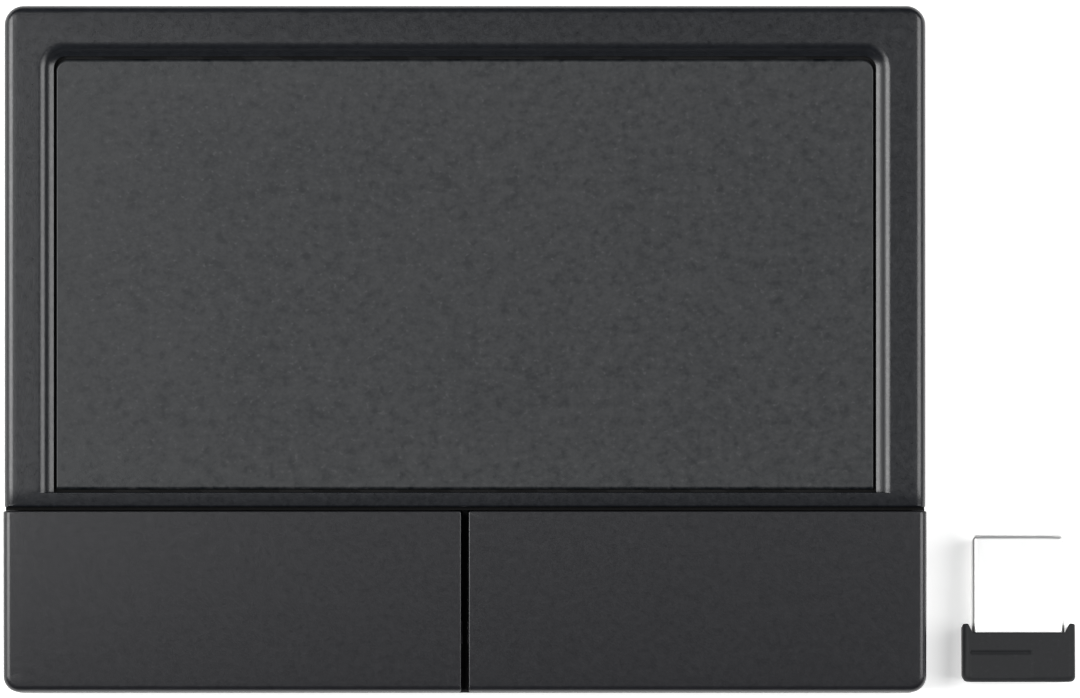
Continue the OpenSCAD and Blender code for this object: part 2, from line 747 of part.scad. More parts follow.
module base_shell() {
    color(base_black) difference() {
        union() {
            difference() {
                base_block();
                base_cavity();
            }
            base_lip();
            base_posts();
            bay(bay_out_r, bay_half + bay_t, underside + sunk);
        }
        bay(bay_r, bay_half, -past);
        door_cut();
        slider_cut();
        deck() {
            hinge_bores();
            screw_places() {
                translate([0, 0, -far]) cylinder(d = screw_d + 2 * bore_gap, h = far);
                translate([0, 0, -far]) cylinder(d = head_d + 2 * bore_gap, h = far - parting_h - screw_grip);
                translate([0, 0, -parting_h]) cylinder(r = boss_r + clear, h = parting_h);
            }
            for (p = board_screws_at) translate([p.x, p.y, -board_top - board_screw_l - clear])
                cylinder(d = board_screw_d + bore_gap, h = board_screw_l);
        }
        foot_places() translate([0, 0, -past])
            cylinder(d = foot_d + bore_gap, h = past + underside + foot_sink);
        for (s = [-1, 1]) tail_slot(s, bore_gap);
    }
}

// Battery bay pieces
module battery_door() {
    ridges = 6;
    ridge_w = 0.8;
    ridge_l = 18;
    ridge_h = 0.5;
    ridges_y = cell_y - 4;
    color(base_black) difference() {
        union() {
            intersection() {
                base_block();
                box([-door_half, door_front, 0], [door_half, far, door_top]);
            }
            for (s = [0, 1]) mirror([s, 0, 0]) box([door_half - join, door_front, tongue_z],
                [door_half + door_tongue, rear - wall_t, tongue_z + tongue_t]);
        }
        // Grip ridges
        for (i = [0:ridges - 1]) translate([-ridge_l / 2, ridges_y + 2 * ridge_w * i, -past])
            cube([ridge_l, ridge_w, past + underside + ridge_h]);
    }
}
module cell(x) {
    color("#9aa0a6") translate([x, cell_y, cell_z]) rotate([0, 90, 0]) {
        cylinder(r = cell_r, h = cell_l - nub_h);
        cylinder(r = nub_r, h = cell_l);
    }
}
module left_cell() { cell(cell_left_x); }
module right_cell() { cell(cell_right_x); }
module battery_spring() {
    turns = 5;
    wire = 0.6;
    steps = 12;
    coil_r = 3;
    ends = wire + lip_gap / 2;
    pitch = (spring_l - 2 * ends) / turns;
    color(bright) translate([spring_x + ends, cell_y, cell_z]) tube([for (i = [0:turns * steps])
        let (a = 360 * i / steps) [pitch * i / steps, coil_r * cos(a), coil_r * sin(a)]], wire / 2, 6);
}
module tail_slot(s, gap) {
    inner = bay_half - contact_t;
    outer = bay_half + bay_t + tail_out;
    box([s < 0 ? -outer : inner, tail_y - gap, tail_z - gap],
        [s < 0 ? -inner : outer, tail_y + tail_w + gap, tail_z + contact_t + gap]);
}
module contact_plate(s) {
    half = 0.7 * cell_r;
    inner = bay_half - contact_t;
    color(bright) {
        box([s < 0 ? -bay_half : inner, cell_y - half, cell_z - half],
            [s < 0 ? -inner : bay_half, cell_y + half, cell_z + half]);
        tail_slot(s, 0);
    }
}
module negative_plate() { contact_plate(-1); }
module positive_contact() { contact_plate(1); }
module lead() { tube(smooth(lead_route, 3), lead_d / 2, 8); }
module red_lead() { color("#b3261e") lead(); }
module black_lead() { color("#151515") mirror([1, 0, 0]) lead(); }

// Power switch and slider
module power_switch_body() {
    left = (slider_travel - power_w) / 2 - slider_x;
    color("#b9bcc0") deck() translate([left, power_y, -board_under - power_h]) cube([power_w, power_d, power_h]);
}
module power_lever() {
    drop = board_under + (power_h - lever_t) / 2;
    color("#111111") deck() box([-slider_x - lever_w / 2, board_back, -drop - lever_t],
        [-slider_x + lever_w / 2, board_back + lever_l, -drop]);
}
module power_slider() {
    flange_z = floor_top + bore_gap / 2;
    flange_t = 0.5;
    prong = [0.8, 1.4, 1.6];
    proud = 0.3;
    groove = 0.6;
    color("#4c4d4f") translate([-slider_x, slider_y, 0]) {
        difference() {
            box([-slider_w / 2, -pad_d / 2, underside - proud],
                [slider_w / 2, pad_d / 2, underside + well_h - clear]);
            for (i = [-1:1]) translate([2 * groove * i - groove / 2, -pad_d, 0])
                cube([groove, 2 * pad_d, underside]);
        }
        box([-stem_w / 2, -stem_d / 2, underside + join], [stem_w / 2, stem_d / 2, flange_z + join]);
        box([-slider_in_w / 2, -stem_d, flange_z], [slider_in_w / 2, stem_d, flange_z + flange_t]);
        for (s = [0, 1]) mirror([s, 0, 0]) translate([lever_w / 2 + bore_gap, clear - prong.y, flange_z])
            cube(prong);
    }
}

// Fasteners and feet
module cross_recess(span, high, low) {
    arm = 0.2 * span;
    for (a = [0, 90]) rotate(a) translate([-span / 2, -arm / 2, low]) cube([span, arm, high - low]);
}
module housing_screws() {
    color(bright) deck() screw_places() translate([0, 0, -parting_h - screw_grip]) difference() {
        union() {
            cylinder(d = screw_d, h = screw_grip + screw_bite);
            translate([0, 0, -head_h]) cylinder(d = head_d, h = head_h);
        }
        translate([0, 0, -head_h]) cross_recess(0.6 * head_d, 0.7, -past);
    }
}
module board_screws() {
    color(bright) deck() for (p = board_screws_at) translate([p.x, p.y, -board_top]) difference() {
        union() {
            translate([0, 0, -board_screw_l]) cylinder(d = board_screw_d, h = board_screw_l);
            cylinder(d = board_head_d, h = board_head_h);
        }
        translate([0, 0, board_head_h]) cross_recess(0.6 * board_head_d, past, -0.5);
    }
}
module foot(x, y) {
    round_r = 0.4;
    color("#1d1d1e") translate([x, y, 0]) rotate_extrude() polygon(concat([[0, 0]],
        arc(foot_d / 2 - round_r, round_r, round_r, 270, 360, 4),
        [[foot_d / 2, foot_h + foot_sink], [0, foot_h + foot_sink]]));
}
module foot_places() { for (s = [-1, 1], y = foot_ys) translate([s * foot_x, y, 0]) children(); }
module front_left_foot() { foot(-foot_x, foot_ys[0]); }
module front_right_foot() { foot(foot_x, foot_ys[0]); }
module rear_left_foot() { foot(-foot_x, foot_ys[1]); }
module rear_right_foot() { foot(foot_x, foot_ys[1]); }

// Receiver, with its plug along +Y from the front of the grip
module receiver_grip() {
    half = grip_w / 2;
    pocket = [plug_w + bore_gap, plug_h + bore_gap];
    panel = [[1 - half, 0.6], [1.7, 4]];
    panel_h = 0.12;
    tail_r = 1.4;
    nose_r = 0.3;
    color("#38393a") at_receiver() difference() {
        intersection() {
            linear_extrude(grip_t) union() {
                plan(grip_w, 0, grip_l, tail_r, nose_r);
                for (s = [-1, 1]) translate([s < 0 ? -half : pocket.x / 2, grip_l - nose_r])
                    square([half - pocket.x / 2, cheek_l + nose_r]);
            }
            along_y(-past, far) plan(grip_w, 0, grip_t, grip_r, grip_r);
            along_x(-far, far) translate([far / 2, 0]) plan(far, 0, grip_t, grip_r, grip_r);
        }
        translate([-pocket.x / 2, plug_in, plug_z - pocket.y / 2]) cube([pocket.x, far, pocket.y]);
        // Shallow panel on the upper face
        box([panel[0].x, panel[0].y, grip_t - panel_h], [panel[1].x, panel[1].y, grip_t + past]);
    }
}
module plug_sleeve() {
    out_r = 0.6;
    in_r = out_r - plug_t;
    length = plug_end - plug_in;
    window = [2.5, 2];
    window_x = 2.9;
    window_back = 7.2;
    window_y = length - window_back;
    color(bright) at_receiver() translate([0, plug_in, plug_z]) difference() {
        along_y(0, length) plan(plug_w, -plug_h / 2, plug_h / 2, out_r, out_r);
        along_y(-past, length + past)
            plan(plug_w - 2 * plug_t, plug_t - plug_h / 2, plug_h / 2 - plug_t, in_r, in_r);
        for (s = [-1, 1]) translate([s * window_x - window.x / 2, window_y, -far])
            cube([window.x, window.y, far]);
    }
}
module plug_tongue() {
    half = plug_w / 2 - plug_t - join;
    color("#f0efe9") at_receiver() box([-half, tongue_back, tongue_under],
        [half, plug_end - 2 * clear, tongue_top]);
}
module plug_contacts() {
    color(gold) at_receiver() for (x = [-strip_far, -strip_near, strip_near, strip_far])
        translate([x - strip_w / 2, tongue_back, tongue_top])
        cube([strip_w, plug_end - tongue_back - past, strip_t]);
}
module receiver_board() {
    half = plug_w / 2 - plug_t - bore_gap;
    color(board_green) at_receiver()
        box([-half, plug_in + clear, tongue_top - stick_t], [half, tongue_back, tongue_top]);
}
module receiver_chip() {
    chip = [4, 4, 0.8];
    color(chip_black) at_receiver() translate([-chip.x / 2, plug_in + 1.2, tongue_top]) cube(chip);
}

placed() base_shell();
placed() top_frame();
placed() touch_overlay();
placed() overlay_adhesive();
placed() bezel_tape();
placed() sensor_board();
placed() touch_controller();
placed() sensor_connector();
placed() ribbon_cable();
placed() board_connector();
placed() main_board();
placed() radio_chip();
placed() crystal_can();
placed() board_parts();
placed() left_switch_body();
placed() right_switch_body();
placed() left_switch_plunger();
placed() right_switch_plunger();
placed() left_button();
placed() right_button();
placed() power_switch_body();
placed() power_lever();
placed() power_slider();
placed() battery_door();
placed() left_cell();
placed() right_cell();
placed() battery_spring();
placed() negative_plate();
placed() positive_contact();
placed() red_lead();
placed() black_lead();
placed() housing_screws();
placed() board_screws();
placed() front_left_foot();
placed() front_right_foot();
placed() rear_left_foot();
placed() rear_right_foot();
placed() receiver_grip();
placed() plug_sleeve();
placed() plug_tongue();
placed() plug_contacts();
placed() receiver_board();
placed() receiver_chip();
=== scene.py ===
"""Dresses a two-button trackpad and its plug-in receiver, and lights them as on a studio table."""
import json
import logging
import math
from dataclasses import dataclass, field
from enum import Enum
from typing import Any, Sequence

import bmesh
import bpy
import numpy as np
from mathutils import Matrix, Vector


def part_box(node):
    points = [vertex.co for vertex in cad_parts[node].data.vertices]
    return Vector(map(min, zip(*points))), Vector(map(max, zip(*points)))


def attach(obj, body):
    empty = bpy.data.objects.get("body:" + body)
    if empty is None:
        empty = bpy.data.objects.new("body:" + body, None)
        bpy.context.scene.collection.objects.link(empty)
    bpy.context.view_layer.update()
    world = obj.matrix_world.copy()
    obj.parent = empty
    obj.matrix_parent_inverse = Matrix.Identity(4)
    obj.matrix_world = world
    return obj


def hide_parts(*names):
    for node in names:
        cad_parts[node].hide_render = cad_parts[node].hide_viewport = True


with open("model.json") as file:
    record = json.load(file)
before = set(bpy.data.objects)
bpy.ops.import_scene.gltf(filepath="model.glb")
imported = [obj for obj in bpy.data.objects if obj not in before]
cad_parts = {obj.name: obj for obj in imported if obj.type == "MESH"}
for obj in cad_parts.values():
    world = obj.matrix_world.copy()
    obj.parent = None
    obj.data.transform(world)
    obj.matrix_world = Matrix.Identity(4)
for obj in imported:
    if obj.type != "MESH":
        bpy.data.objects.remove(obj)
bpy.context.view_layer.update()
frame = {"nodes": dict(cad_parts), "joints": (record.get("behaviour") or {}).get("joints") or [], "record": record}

LOG = logging.getLogger("trackpad")
# Metres in a millimetre
MM = 0.001
# Least radius and least step that a skin keeps, in millimetres
LEAST_R = 0.05
# Four corners that are hardly rounded
SQUARE = (LEAST_R,) * 4
# Points of a CAD mesh that lie closer than this are one point, in millimetres
SAME_PLACE = 0.001
# Faces that meet at a smaller angle are shaded as one surface
SMOOTH_ANGLE = math.radians(32)
# Triangles that meet at a smaller angle are one flat face
FLAT_ANGLE = math.radians(0.3)
# Middle value of a noise
NOISE_MIDDLE = 0.5
# Red, green and blue
Colour = tuple[float, float, float]
# Low and high end
Span = tuple[float, float]
# Left, right, front and rear
Sides = tuple[float, float, float, float]
# Points, and faces as lists of their numbers
Skin = tuple[np.ndarray, list[list[int]]]


class Ends(Enum):
    """How a loft's first and last loops are finished."""

    CAPPED = "capped"
    JOINED = "joined"
    OPEN = "open"


class Side(Enum):
    """The two sides of the trackpad, as the sign of X."""

    LEFT = -1
    RIGHT = 1


# Surfaces


def side_shares(turn: int, run: int) -> np.ndarray:
    """How much of each side's depth a point of a rounded loop takes.

    A point on a straight run takes its own side's depth. Along a corner the share passes from one side to
    the next as a smoothstep of the way round the arc.

    Args:
        turn: steps round each corner.
        run: points along each straight run.

    Returns:
        (points, 4) shares of the left, right, front and rear side, in the loop's own order.
    """
    ease = smooth_step(0, 1, np.linspace(0, 1, turn + 1))
    before, after = np.array([0, 2, 1, 3]), np.array([2, 1, 3, 0])
    identity = np.eye(4)
    corners = identity[before][:, None] * (1 - ease)[:, None] + identity[after][:, None] * ease[:, None]
    runs = np.repeat(identity[after][:, None], run, axis=1)
    return np.concatenate([corners, runs], axis=1).reshape(-1, 4)


def rounded_loops(sides: np.ndarray, radii: np.ndarray, turn: int, run: int) -> np.ndarray:
    """Points round rounded rectangles, one rectangle to a row.

    A corner is its centre plus the radius times (cos a, sin a) over a quarter turn. Straight runs join each
    corner to the next, with points at (1 - cos b) / 2 of the way, so that they lie closer near the corners.

    Args:
        sides: (rows, 4) left, right, front and rear of each rectangle.
        radii: (rows, 4) radii at front left, front right, rear right and rear left.
        turn: steps round each corner.
        run: points along each straight run.

    Returns:
        (rows, points, 2) points, anticlockwise seen from above.
    """
    left, right, front, rear = sides.T
    across, along = np.stack([left, right, right, left], 1), np.stack([front, front, rear, rear], 1)
    inward = np.array([[1, 1], [-1, 1], [-1, -1], [1, -1]])
    centres = np.stack([across, along], -1) + inward * radii[..., None]
    angle = np.radians([180, 270, 0, 90])[:, None] + np.linspace(0, np.pi / 2, turn + 1)
    arcs = centres[:, :, None] + radii[:, :, None, None] * np.stack([np.cos(angle), np.sin(angle)], -1)
    way = (1 - np.cos(np.linspace(0, np.pi, run + 2)[1:-1, None])) / 2
    following = np.roll(arcs[:, :, :1], -1, axis=1)
    runs = arcs[:, :, -1:] * (1 - way) + following * way
    return np.concatenate([arcs, runs], axis=2).reshape(len(sides), -1, 2)


@dataclass
class Stack:
    """Rounded rectangles one after another, which a loft then joins into a skin."""

    turn: int = 10
    run: int = 28
    sides: list[np.ndarray] = field(default_factory=list)
    radii: list[np.ndarray] = field(default_factory=list)
    depths: list[np.ndarray] = field(default_factory=list)

    def add(self, rect: Sequence[float], corners: Sequence[float], inset: Any, depth: Any,
            shrink: float = 1.0) -> "Stack":
        """Adds rows that draw one rectangle in from its sides.

        Each side moves in by its inset. A corner's radius shrinks with the mean of the insets beside it.

        Args:
            rect: left, right, front and rear, in millimetres.
            corners: radii at front left, front right, rear right and rear left.
            inset: (rows, 4) distance drawn in at left, right, front and rear.
            depth: (rows, 4) depth at the same sides.
            shrink: how much a corner's radius shrinks for each millimetre drawn in.

        Returns:
            The stack itself, so that calls can follow each other.
        """
        inset, depth = np.broadcast_arrays(np.atleast_2d(inset), np.atleast_2d(depth))
        beside = (inset[:, [0, 1, 1, 0]] + inset[:, [2, 2, 3, 3]]) / 2
        self.sides.append(np.array(rect) + inset * np.array([1, -1, 1, -1]))
        self.radii.append(np.maximum(np.array(corners) - shrink * beside, LEAST_R))
        self.depths.append(depth)
        return self

    def points(self) -> np.ndarray:
        """The loops, with z the depth of each side, shared out along the corners.

        Returns:
            (rows, points, 3) points.
        """
        plan = rounded_loops(np.concatenate(self.sides), np.concatenate(self.radii), self.turn, self.run)
        height = -np.concatenate(self.depths) @ side_shares(self.turn, self.run).T
        return np.concatenate([plan, height[..., None]], axis=-1)


def quarter(radius: Sequence[float], steps: int = 8) -> tuple[np.ndarray, np.ndarray]:
    """A rounded edge at each of four sides, from the upright wall to the level top.

    The inset is r (1 - cos a) and the depth r (1 - sin a), for a from 0 to a quarter turn.

    Args:
        radius: radius at left, right, front and rear.
        steps: steps round the edge.

    Returns:
        Inset and depth, each (steps + 1, 4).
    """
    a = np.linspace(0, np.pi / 2, steps + 1)[:, None]
    return np.array(radius) * (1 - np.cos(a)), np.array(radius) * (1 - np.sin(a))


def spread(first: np.ndarray, last: np.ndarray, rows: int) -> np.ndarray:
    """Loops evenly between two loops: each point goes straight from its first place to its last."""
    t = np.linspace(0, 1, rows + 2)[1:-1, None, None]
    return first * (1 - t) + last * t


def smooth_step(low: float, high: float, value: np.ndarray) -> np.ndarray:
    """0 up to low, 1 from high on, and t t (3 - 2 t) of the way between them."""
    t = np.clip((value - low) / (high - low), 0, 1)
    return t * t * (3 - 2 * t)


def loft(loops: np.ndarray, ends: Ends = Ends.CAPPED) -> Skin:
    """Skin through loops that have the same number of points.

    Neighbouring loops are joined by quads. A cap is a fan of triangles round the middle of its loop.

    Args:
        loops: (rows, points, 3) points.
        ends: whether the end loops are capped, joined to each other or left open.

    Returns:
        Points and faces.
    """
    rows, count = loops.shape[:2]
    points = loops.reshape(-1, 3)
    row = np.arange(rows if ends is Ends.JOINED else rows - 1)[:, None]
    below, above = row * count, (row + 1) % rows * count
    here = np.arange(count)
    there = (here + 1) % count
    quads = np.stack([below + here, below + there, above + there, above + here], -1)
    faces = quads.reshape(-1, 4).tolist()
    if ends is Ends.CAPPED:
        first, last = len(points), len(points) + 1
        points = np.concatenate([points, loops[[0, -1]].mean(axis=1)])
        top = (rows - 1) * count
        faces += np.stack([np.full(count, first), there, here], -1).tolist()
        faces += np.stack([np.full(count, last), top + here, top + there], -1).tolist()
    return points, faces


def slab(block: Sequence[float]) -> Skin:
    """A block with hardly rounded corners, from its left, right, front, rear, upper and lower side."""
    *rect, above, below = block
    return loft(Stack(turn=4, run=4).add(rect, SQUARE, 0, np.outer((below, above), np.ones(4))).points())


def lathe(radius: Sequence[float], height: Sequence[float], steps: int = 64) -> np.ndarray:
    """Circles round the Z axis: (r cos a, r sin a, z) for each radius and height of a profile.

    Args:
        radius: the profile's radii.
        height: its heights.
        steps: points round each circle.

    Returns:
        (rows, steps, 3) loops.
    """
    a = np.linspace(0, 2 * np.pi, steps, endpoint=False)
    r, z = np.array(radius)[:, None], np.array(height)[:, None]
    return np.stack([r * np.cos(a), r * np.sin(a), z + 0 * a], -1)


def joined(parts: Sequence[Skin]) -> Skin:
    """Several skins as one: the points follow each other and the faces count on from the points before.

    Args:
        parts: the skins.

    Returns:
        Points and faces.
    """
    starts = np.cumsum([0] + [len(points) for points, _ in parts[:-1]]).tolist()
    faces = [[corner + start for corner in face] for start, (_, some) in zip(starts, parts) for face in some]
    return np.concatenate([points for points, _ in parts]), faces


# Shader nodes


class Value:
    """A number on a shader socket. Python's operators on it add Math nodes."""

    def __init__(self, tree: bpy.types.NodeTree, socket: bpy.types.NodeSocket) -> None:
        """Wraps a socket of a node tree."""
        self.tree, self.socket = tree, socket

    def _math(self, operation: str, *terms: Any) -> "Value":
        """One Math node over numbers and sockets.

        Args:
            operation: what the node works out.
            terms: its inputs, in order.

        Returns:
            The result.
        """
        made = self.tree.nodes.new("ShaderNodeMath")
        made.operation = operation
        for socket, term in zip(made.inputs, terms):
            supply(self.tree, socket, term)
        return Value(self.tree, made.outputs[0])

    def __add__(self, other: Any) -> "Value":
        """self + other."""
        return self._math("ADD", self, other)

    __radd__ = __add__

    def __sub__(self, other: Any) -> "Value":
        """self - other."""
        return self._math("SUBTRACT", self, other)

    def __rsub__(self, other: Any) -> "Value":
        """other - self."""
        return self._math("SUBTRACT", other, self)

    def __mul__(self, other: Any) -> "Value":
        """self * other."""
        return self._math("MULTIPLY", self, other)

    __rmul__ = __mul__

    def over(self, low: float, high: float) -> "Value":
        """0 below low, 1 above high, and an even rise between them."""
        rise = (self - low) * (1 / (high - low))
        return self._math("MINIMUM", self._math("MAXIMUM", rise, 0.0), 1.0)

    def swing(self, amount: float) -> "Value":
        """How far a noise lies from its middle value, times an amount."""
        return (self - NOISE_MIDDLE) * amount


def supply(tree: bpy.types.NodeTree, socket: bpy.types.NodeSocket, value: Any) -> None:
    """Links a value to a socket, or sets the socket where the value is a plain number, colour or vector.

    Args:
        tree: the tree that the socket is in.
        socket: the input.
        value: what it gets.
    """
    if isinstance(value, Value):
        tree.links.new(value.socket, socket)
    else:
        socket.default_value = value


class Painter:
    """Builds one material: its nodes, and the shader that they feed."""

    def __init__(self, name: str) -> None:
        """Starts a material with a plain shader.

        Args:
            name: the material's name.
        """
        self.material = bpy.data.materials.new(name)
        self.material.use_nodes = True
        self.tree = self.material.node_tree
        self.shader = self.tree.nodes["Principled BSDF"]
        self.place = self.node("ShaderNodeTexCoord", {}, {}, "Object")

    def node(self, kind: str, settings: dict[str, Any], sockets: dict[Any, Any], output: Any) -> Value:
        """Any node.

        Args:
            kind: the node's type.
            settings: its settings, which are set first.
            sockets: values or links for its inputs, by name or number.
            output: name or number of the output that is wanted.

        Returns:
            That output.
        """
        made = self.tree.nodes.new(kind)
        for key, value in settings.items():
            setattr(made, key, value)
        for key, value in sockets.items():
            supply(self.tree, made.inputs[key], value)
        return Value(self.tree, made.outputs[output])

    def noise(self, size_mm: float, detail: float = 2.0, stretch: Sequence[float] = (1, 1, 1),
              rough: float = 0.5) -> Value:
        """Noise over the piece's own place in space.

        Args:
            size_mm: about how large its features are, in millimetres.
            detail: how many times finer noise is added.
            stretch: how much longer the features are along each axis.
            rough: how strong each finer noise is beside the one before.

        Returns:
            The noise, mostly between 0.3 and 0.7.
        """
        scale = tuple(1 / (size_mm * MM * s) for s in stretch)
        place = self.node("ShaderNodeMapping", {}, {"Vector": self.place, "Scale": scale}, "Vector")
        sockets = {"Vector": place, "Scale": 1.0, "Detail": detail, "Roughness": rough}
        return self.node("ShaderNodeTexNoise", {}, sockets, 0)

    def mix(self, share: Any, one: Any, other: Any) -> Value:
        """Mix of two colours, which a Mix node takes at 6 and 7 and gives at 2."""
        ends = [(*c, 1) if isinstance(c, tuple) else c for c in (one, other)]
        return self.node("ShaderNodeMix", {"data_type": "RGBA"}, {0: share, 6: ends[0], 7: ends[1]}, 2)

    def bump(self, height: Value, depth_mm: float) -> None:
        """Feeds the shader's normal with a height that is a depth in millimetres at 1."""
        sockets = {"Height": height, "Distance": depth_mm * MM, "Strength": 1.0}
        self.feed("Normal", self.node("ShaderNodeBump", {}, sockets, "Normal"))

    def feed(self, name: str, value: Any) -> None:
        """Sets or links one of the shader's sockets."""
        supply(self.tree, self.shader.inputs[name], value)


def scaled(colour: Colour, by: float) -> Colour:
    """A colour made lighter or darker."""
    return tuple(min(channel * by, 1.0) for channel in colour)


def greyed(colour: Colour, by: float) -> Colour:
    """A colour with grey added or taken away, so that its tint stays the same."""
    return tuple(max(channel + by, 0.0) for channel in colour)


# Finishes


@dataclass(frozen=True)
class Moulded:
    """Moulded plastic or rubber: a drifting colour with faint specks, uneven gloss and a fine grain."""

    name: str
    colour: Colour
    roughness: float
    gloss: float = 0.5
    drift: float = 0.12
    drift_mm: float = 2.2
    drift_rough: float = 0.5
    mottle: float = 0.08
    specks: float = 0.25
    speck_mm: float = 0.5
    light_from: Span = (0.62, 0.75)
    light_by: float = 2.2
    dark_from: Span = (0.4, 0.28)
    dark_by: float = 0.5
    grain_mm: float = 0.22
    grain_deep_mm: float = 0.006
    grain_swing: float = 0.12

    def material(self) -> bpy.types.Material:
        """Clouds and specks give the colour, grain and clouds the gloss, and grain the bump.

        Returns:
            The plastic's material.
        """
        paint = Painter(self.name)
        cloud = paint.noise(self.drift_mm, detail=3, rough=self.drift_rough)
        speck, grain = paint.noise(self.speck_mm, detail=1), paint.noise(self.grain_mm)
        ground = paint.mix(cloud, scaled(self.colour, 1 - self.drift), scaled(self.colour, 1 + self.drift))
        light, dark = (speck.over(*ends) * self.specks for ends in (self.light_from, self.dark_from))
        lit = paint.mix(light, ground, scaled(self.colour, self.light_by))
        paint.feed("Base Color", paint.mix(dark, lit, scaled(self.colour, self.dark_by)))
        paint.feed("Roughness", self.roughness + grain.swing(self.grain_swing) + cloud.swing(self.mottle))
        paint.feed("Specular IOR Level", self.gloss)
        paint.bump(grain, self.grain_deep_mm)
        return paint.material


@dataclass(frozen=True)
class FleckedFilm:
    """Matt film over the sensor: a grey ground with fine dark and light flecks of two sizes."""

    name: str
    colour: Colour
    roughness: float
    coarse_mm: float = 1.25
    fine_mm: float = 0.6
    grain_mm: float = 0.3
    cloud_mm: float = 9.0
    stretch: tuple[float, float, float] = (1.05, 0.97, 1.0)
    coarse_share: float = 1.0
    fine_share: float = 0.85
    cloud_share: float = 0.15
    tone_from: Span = (0.2, 0.8)
    spread: float = 0.0057
    light_from: Span = (0.66, 0.78)
    light_fleck: float = 0.0135
    dark_from: Span = (0.38, 0.28)
    dark_fleck: float = 0.0067
    gloss_swing: float = 0.2
    fine_bump: float = 0.5
    grain_deep_mm: float = 0.008

    def material(self) -> bpy.types.Material:
        """A sum of noises gives the ground and the gloss, and flecks lie where one of them is extreme.

        Returns:
            The film's material.
        """
        paint = Painter(self.name)
        cloud, grain = paint.noise(self.cloud_mm), paint.noise(self.grain_mm, detail=1)
        coarse = paint.noise(self.coarse_mm, stretch=self.stretch)
        fine = paint.noise(self.fine_mm, detail=1, stretch=self.stretch)
        uneven = coarse.swing(self.coarse_share) + fine.swing(self.fine_share)
        tone = uneven + cloud.swing(self.cloud_share) + NOISE_MIDDLE
        dim, bright = greyed(self.colour, -self.spread), greyed(self.colour, self.spread)
        ground = paint.mix(tone.over(*self.tone_from), dim, bright)
        lit = paint.mix(fine.over(*self.light_from), ground, greyed(self.colour, self.light_fleck))
        flecked = paint.mix(coarse.over(*self.dark_from), lit, greyed(self.colour, -self.dark_fleck))
        paint.feed("Base Color", flecked)
        paint.feed("Roughness", self.roughness + tone.swing(self.gloss_swing))
        paint.bump(grain + fine * self.fine_bump, self.grain_deep_mm)
        return paint.material


@dataclass(frozen=True)
class Metal:
    """Sheet or turned metal: fine streaks along one axis, uneven gloss and faint tarnish."""

    name: str
    colour: Colour
    roughness: float
    streak: tuple[float, float, float] = (0.2, 6.0, 0.2)
    streak_mm: float = 0.6
    streak_share: float = 0.3
    streak_swing: float = 0.14
    streak_deep_mm: float = 0.0008
    cloud_mm: float = 3.0
    cloud_from: Span = (0.3, 0.7)
    cloud_share: float = 0.5
    cloud_swing: float = 0.06
    tarnish: float = 0.12

    def material(self) -> bpy.types.Material:
        """Clouds and streaks lead from the tarnished colour to the clean one, and make the gloss uneven.

        Returns:
            The metal's material.
        """
        paint = Painter(self.name)
        streaks, cloud = paint.noise(self.streak_mm, stretch=self.streak), paint.noise(self.cloud_mm)
        clean = cloud.over(*self.cloud_from) * self.cloud_share + streaks * self.streak_share
        dull = scaled(self.colour, 1 - 2 * self.tarnish)
        uneven = self.roughness + streaks.swing(self.streak_swing) + cloud.swing(self.cloud_swing)
        paint.feed("Base Color", paint.mix(clean, dull, self.colour))
        paint.feed("Metallic", 1.0)
        paint.feed("Roughness", uneven)
        paint.bump(streaks, self.streak_deep_mm)
        return paint.material


@dataclass(frozen=True)
class Laminate:
    """Circuit board: tracks show through a glossy coat as slightly raised, lighter bands."""

    name: str
    colour: Colour
    roughness: float = 0.28
    gloss: float = 0.5
    track_mm: float = 0.9
    track_from: Span = (0.55, 0.62)
    track_by: float = 1.7
    track_deep_mm: float = 0.03
    wander: float = 3.0
    # A wave texture runs this many times faster than its scale
    wave_rate: float = 20.0
    weave: float = 0.15
    grain_mm: float = 0.4
    grain_swing: float = 0.1

    def material(self) -> bpy.types.Material:
        """Bent diagonal bands are the tracks, and noise is the weave between them.

        Returns:
            The board's material.
        """
        paint = Painter(self.name)
        settings = {"wave_type": "BANDS", "bands_direction": "DIAGONAL"}
        scale = 1 / (self.wave_rate * self.track_mm * MM)
        sockets = {"Vector": paint.place, "Scale": scale, "Distortion": self.wander, "Detail": 0.0}
        tracks = paint.node("ShaderNodeTexWave", settings, sockets, "Fac").over(*self.track_from)
        grain = paint.noise(self.grain_mm)
        ground = paint.mix(grain, scaled(self.colour, 1 - self.weave), scaled(self.colour, 1 + self.weave))
        paint.feed("Base Color", paint.mix(tracks, ground, scaled(self.colour, self.track_by)))
        paint.feed("Roughness", self.roughness + grain.swing(self.grain_swing))
        paint.feed("Specular IOR Level", self.gloss)
        paint.bump(tracks, self.track_deep_mm)
        return paint.material


@dataclass(frozen=True)
class Jacket:
    """Plain printed film on a cell: dark up to a place along X and pale past it, with a satin gloss."""

    name: str
    band_mm: float
    colour: Colour = (0.3, 0.31, 0.33)
    band: Colour = (0.02, 0.02, 0.022)
    shoulder_mm: float = 0.2
    drift: float = 0.1
    drift_mm: float = 4.0
    metallic: float = 0.55
    roughness: float = 0.32
    grain_mm: float = 0.3
    grain_swing: float = 0.1

    def material(self) -> bpy.types.Material:
        """A step along X leads from the band to the clouded ground, and grain makes the gloss uneven.

        Returns:
            The film's material.
        """
        paint = Painter(self.name)
        along = paint.node("ShaderNodeSeparateXYZ", {}, {0: paint.place}, "X")
        grain, cloud = paint.noise(self.grain_mm), paint.noise(self.drift_mm)
        ground = paint.mix(cloud, scaled(self.colour, 1 - self.drift), scaled(self.colour, 1 + self.drift))
        share = along.over(self.band_mm * MM, (self.band_mm + self.shoulder_mm) * MM)
        paint.feed("Base Color", paint.mix(share, self.band, ground))
        paint.feed("Metallic", self.metallic)
        paint.feed("Roughness", self.roughness + grain.swing(self.grain_swing))
        return paint.material


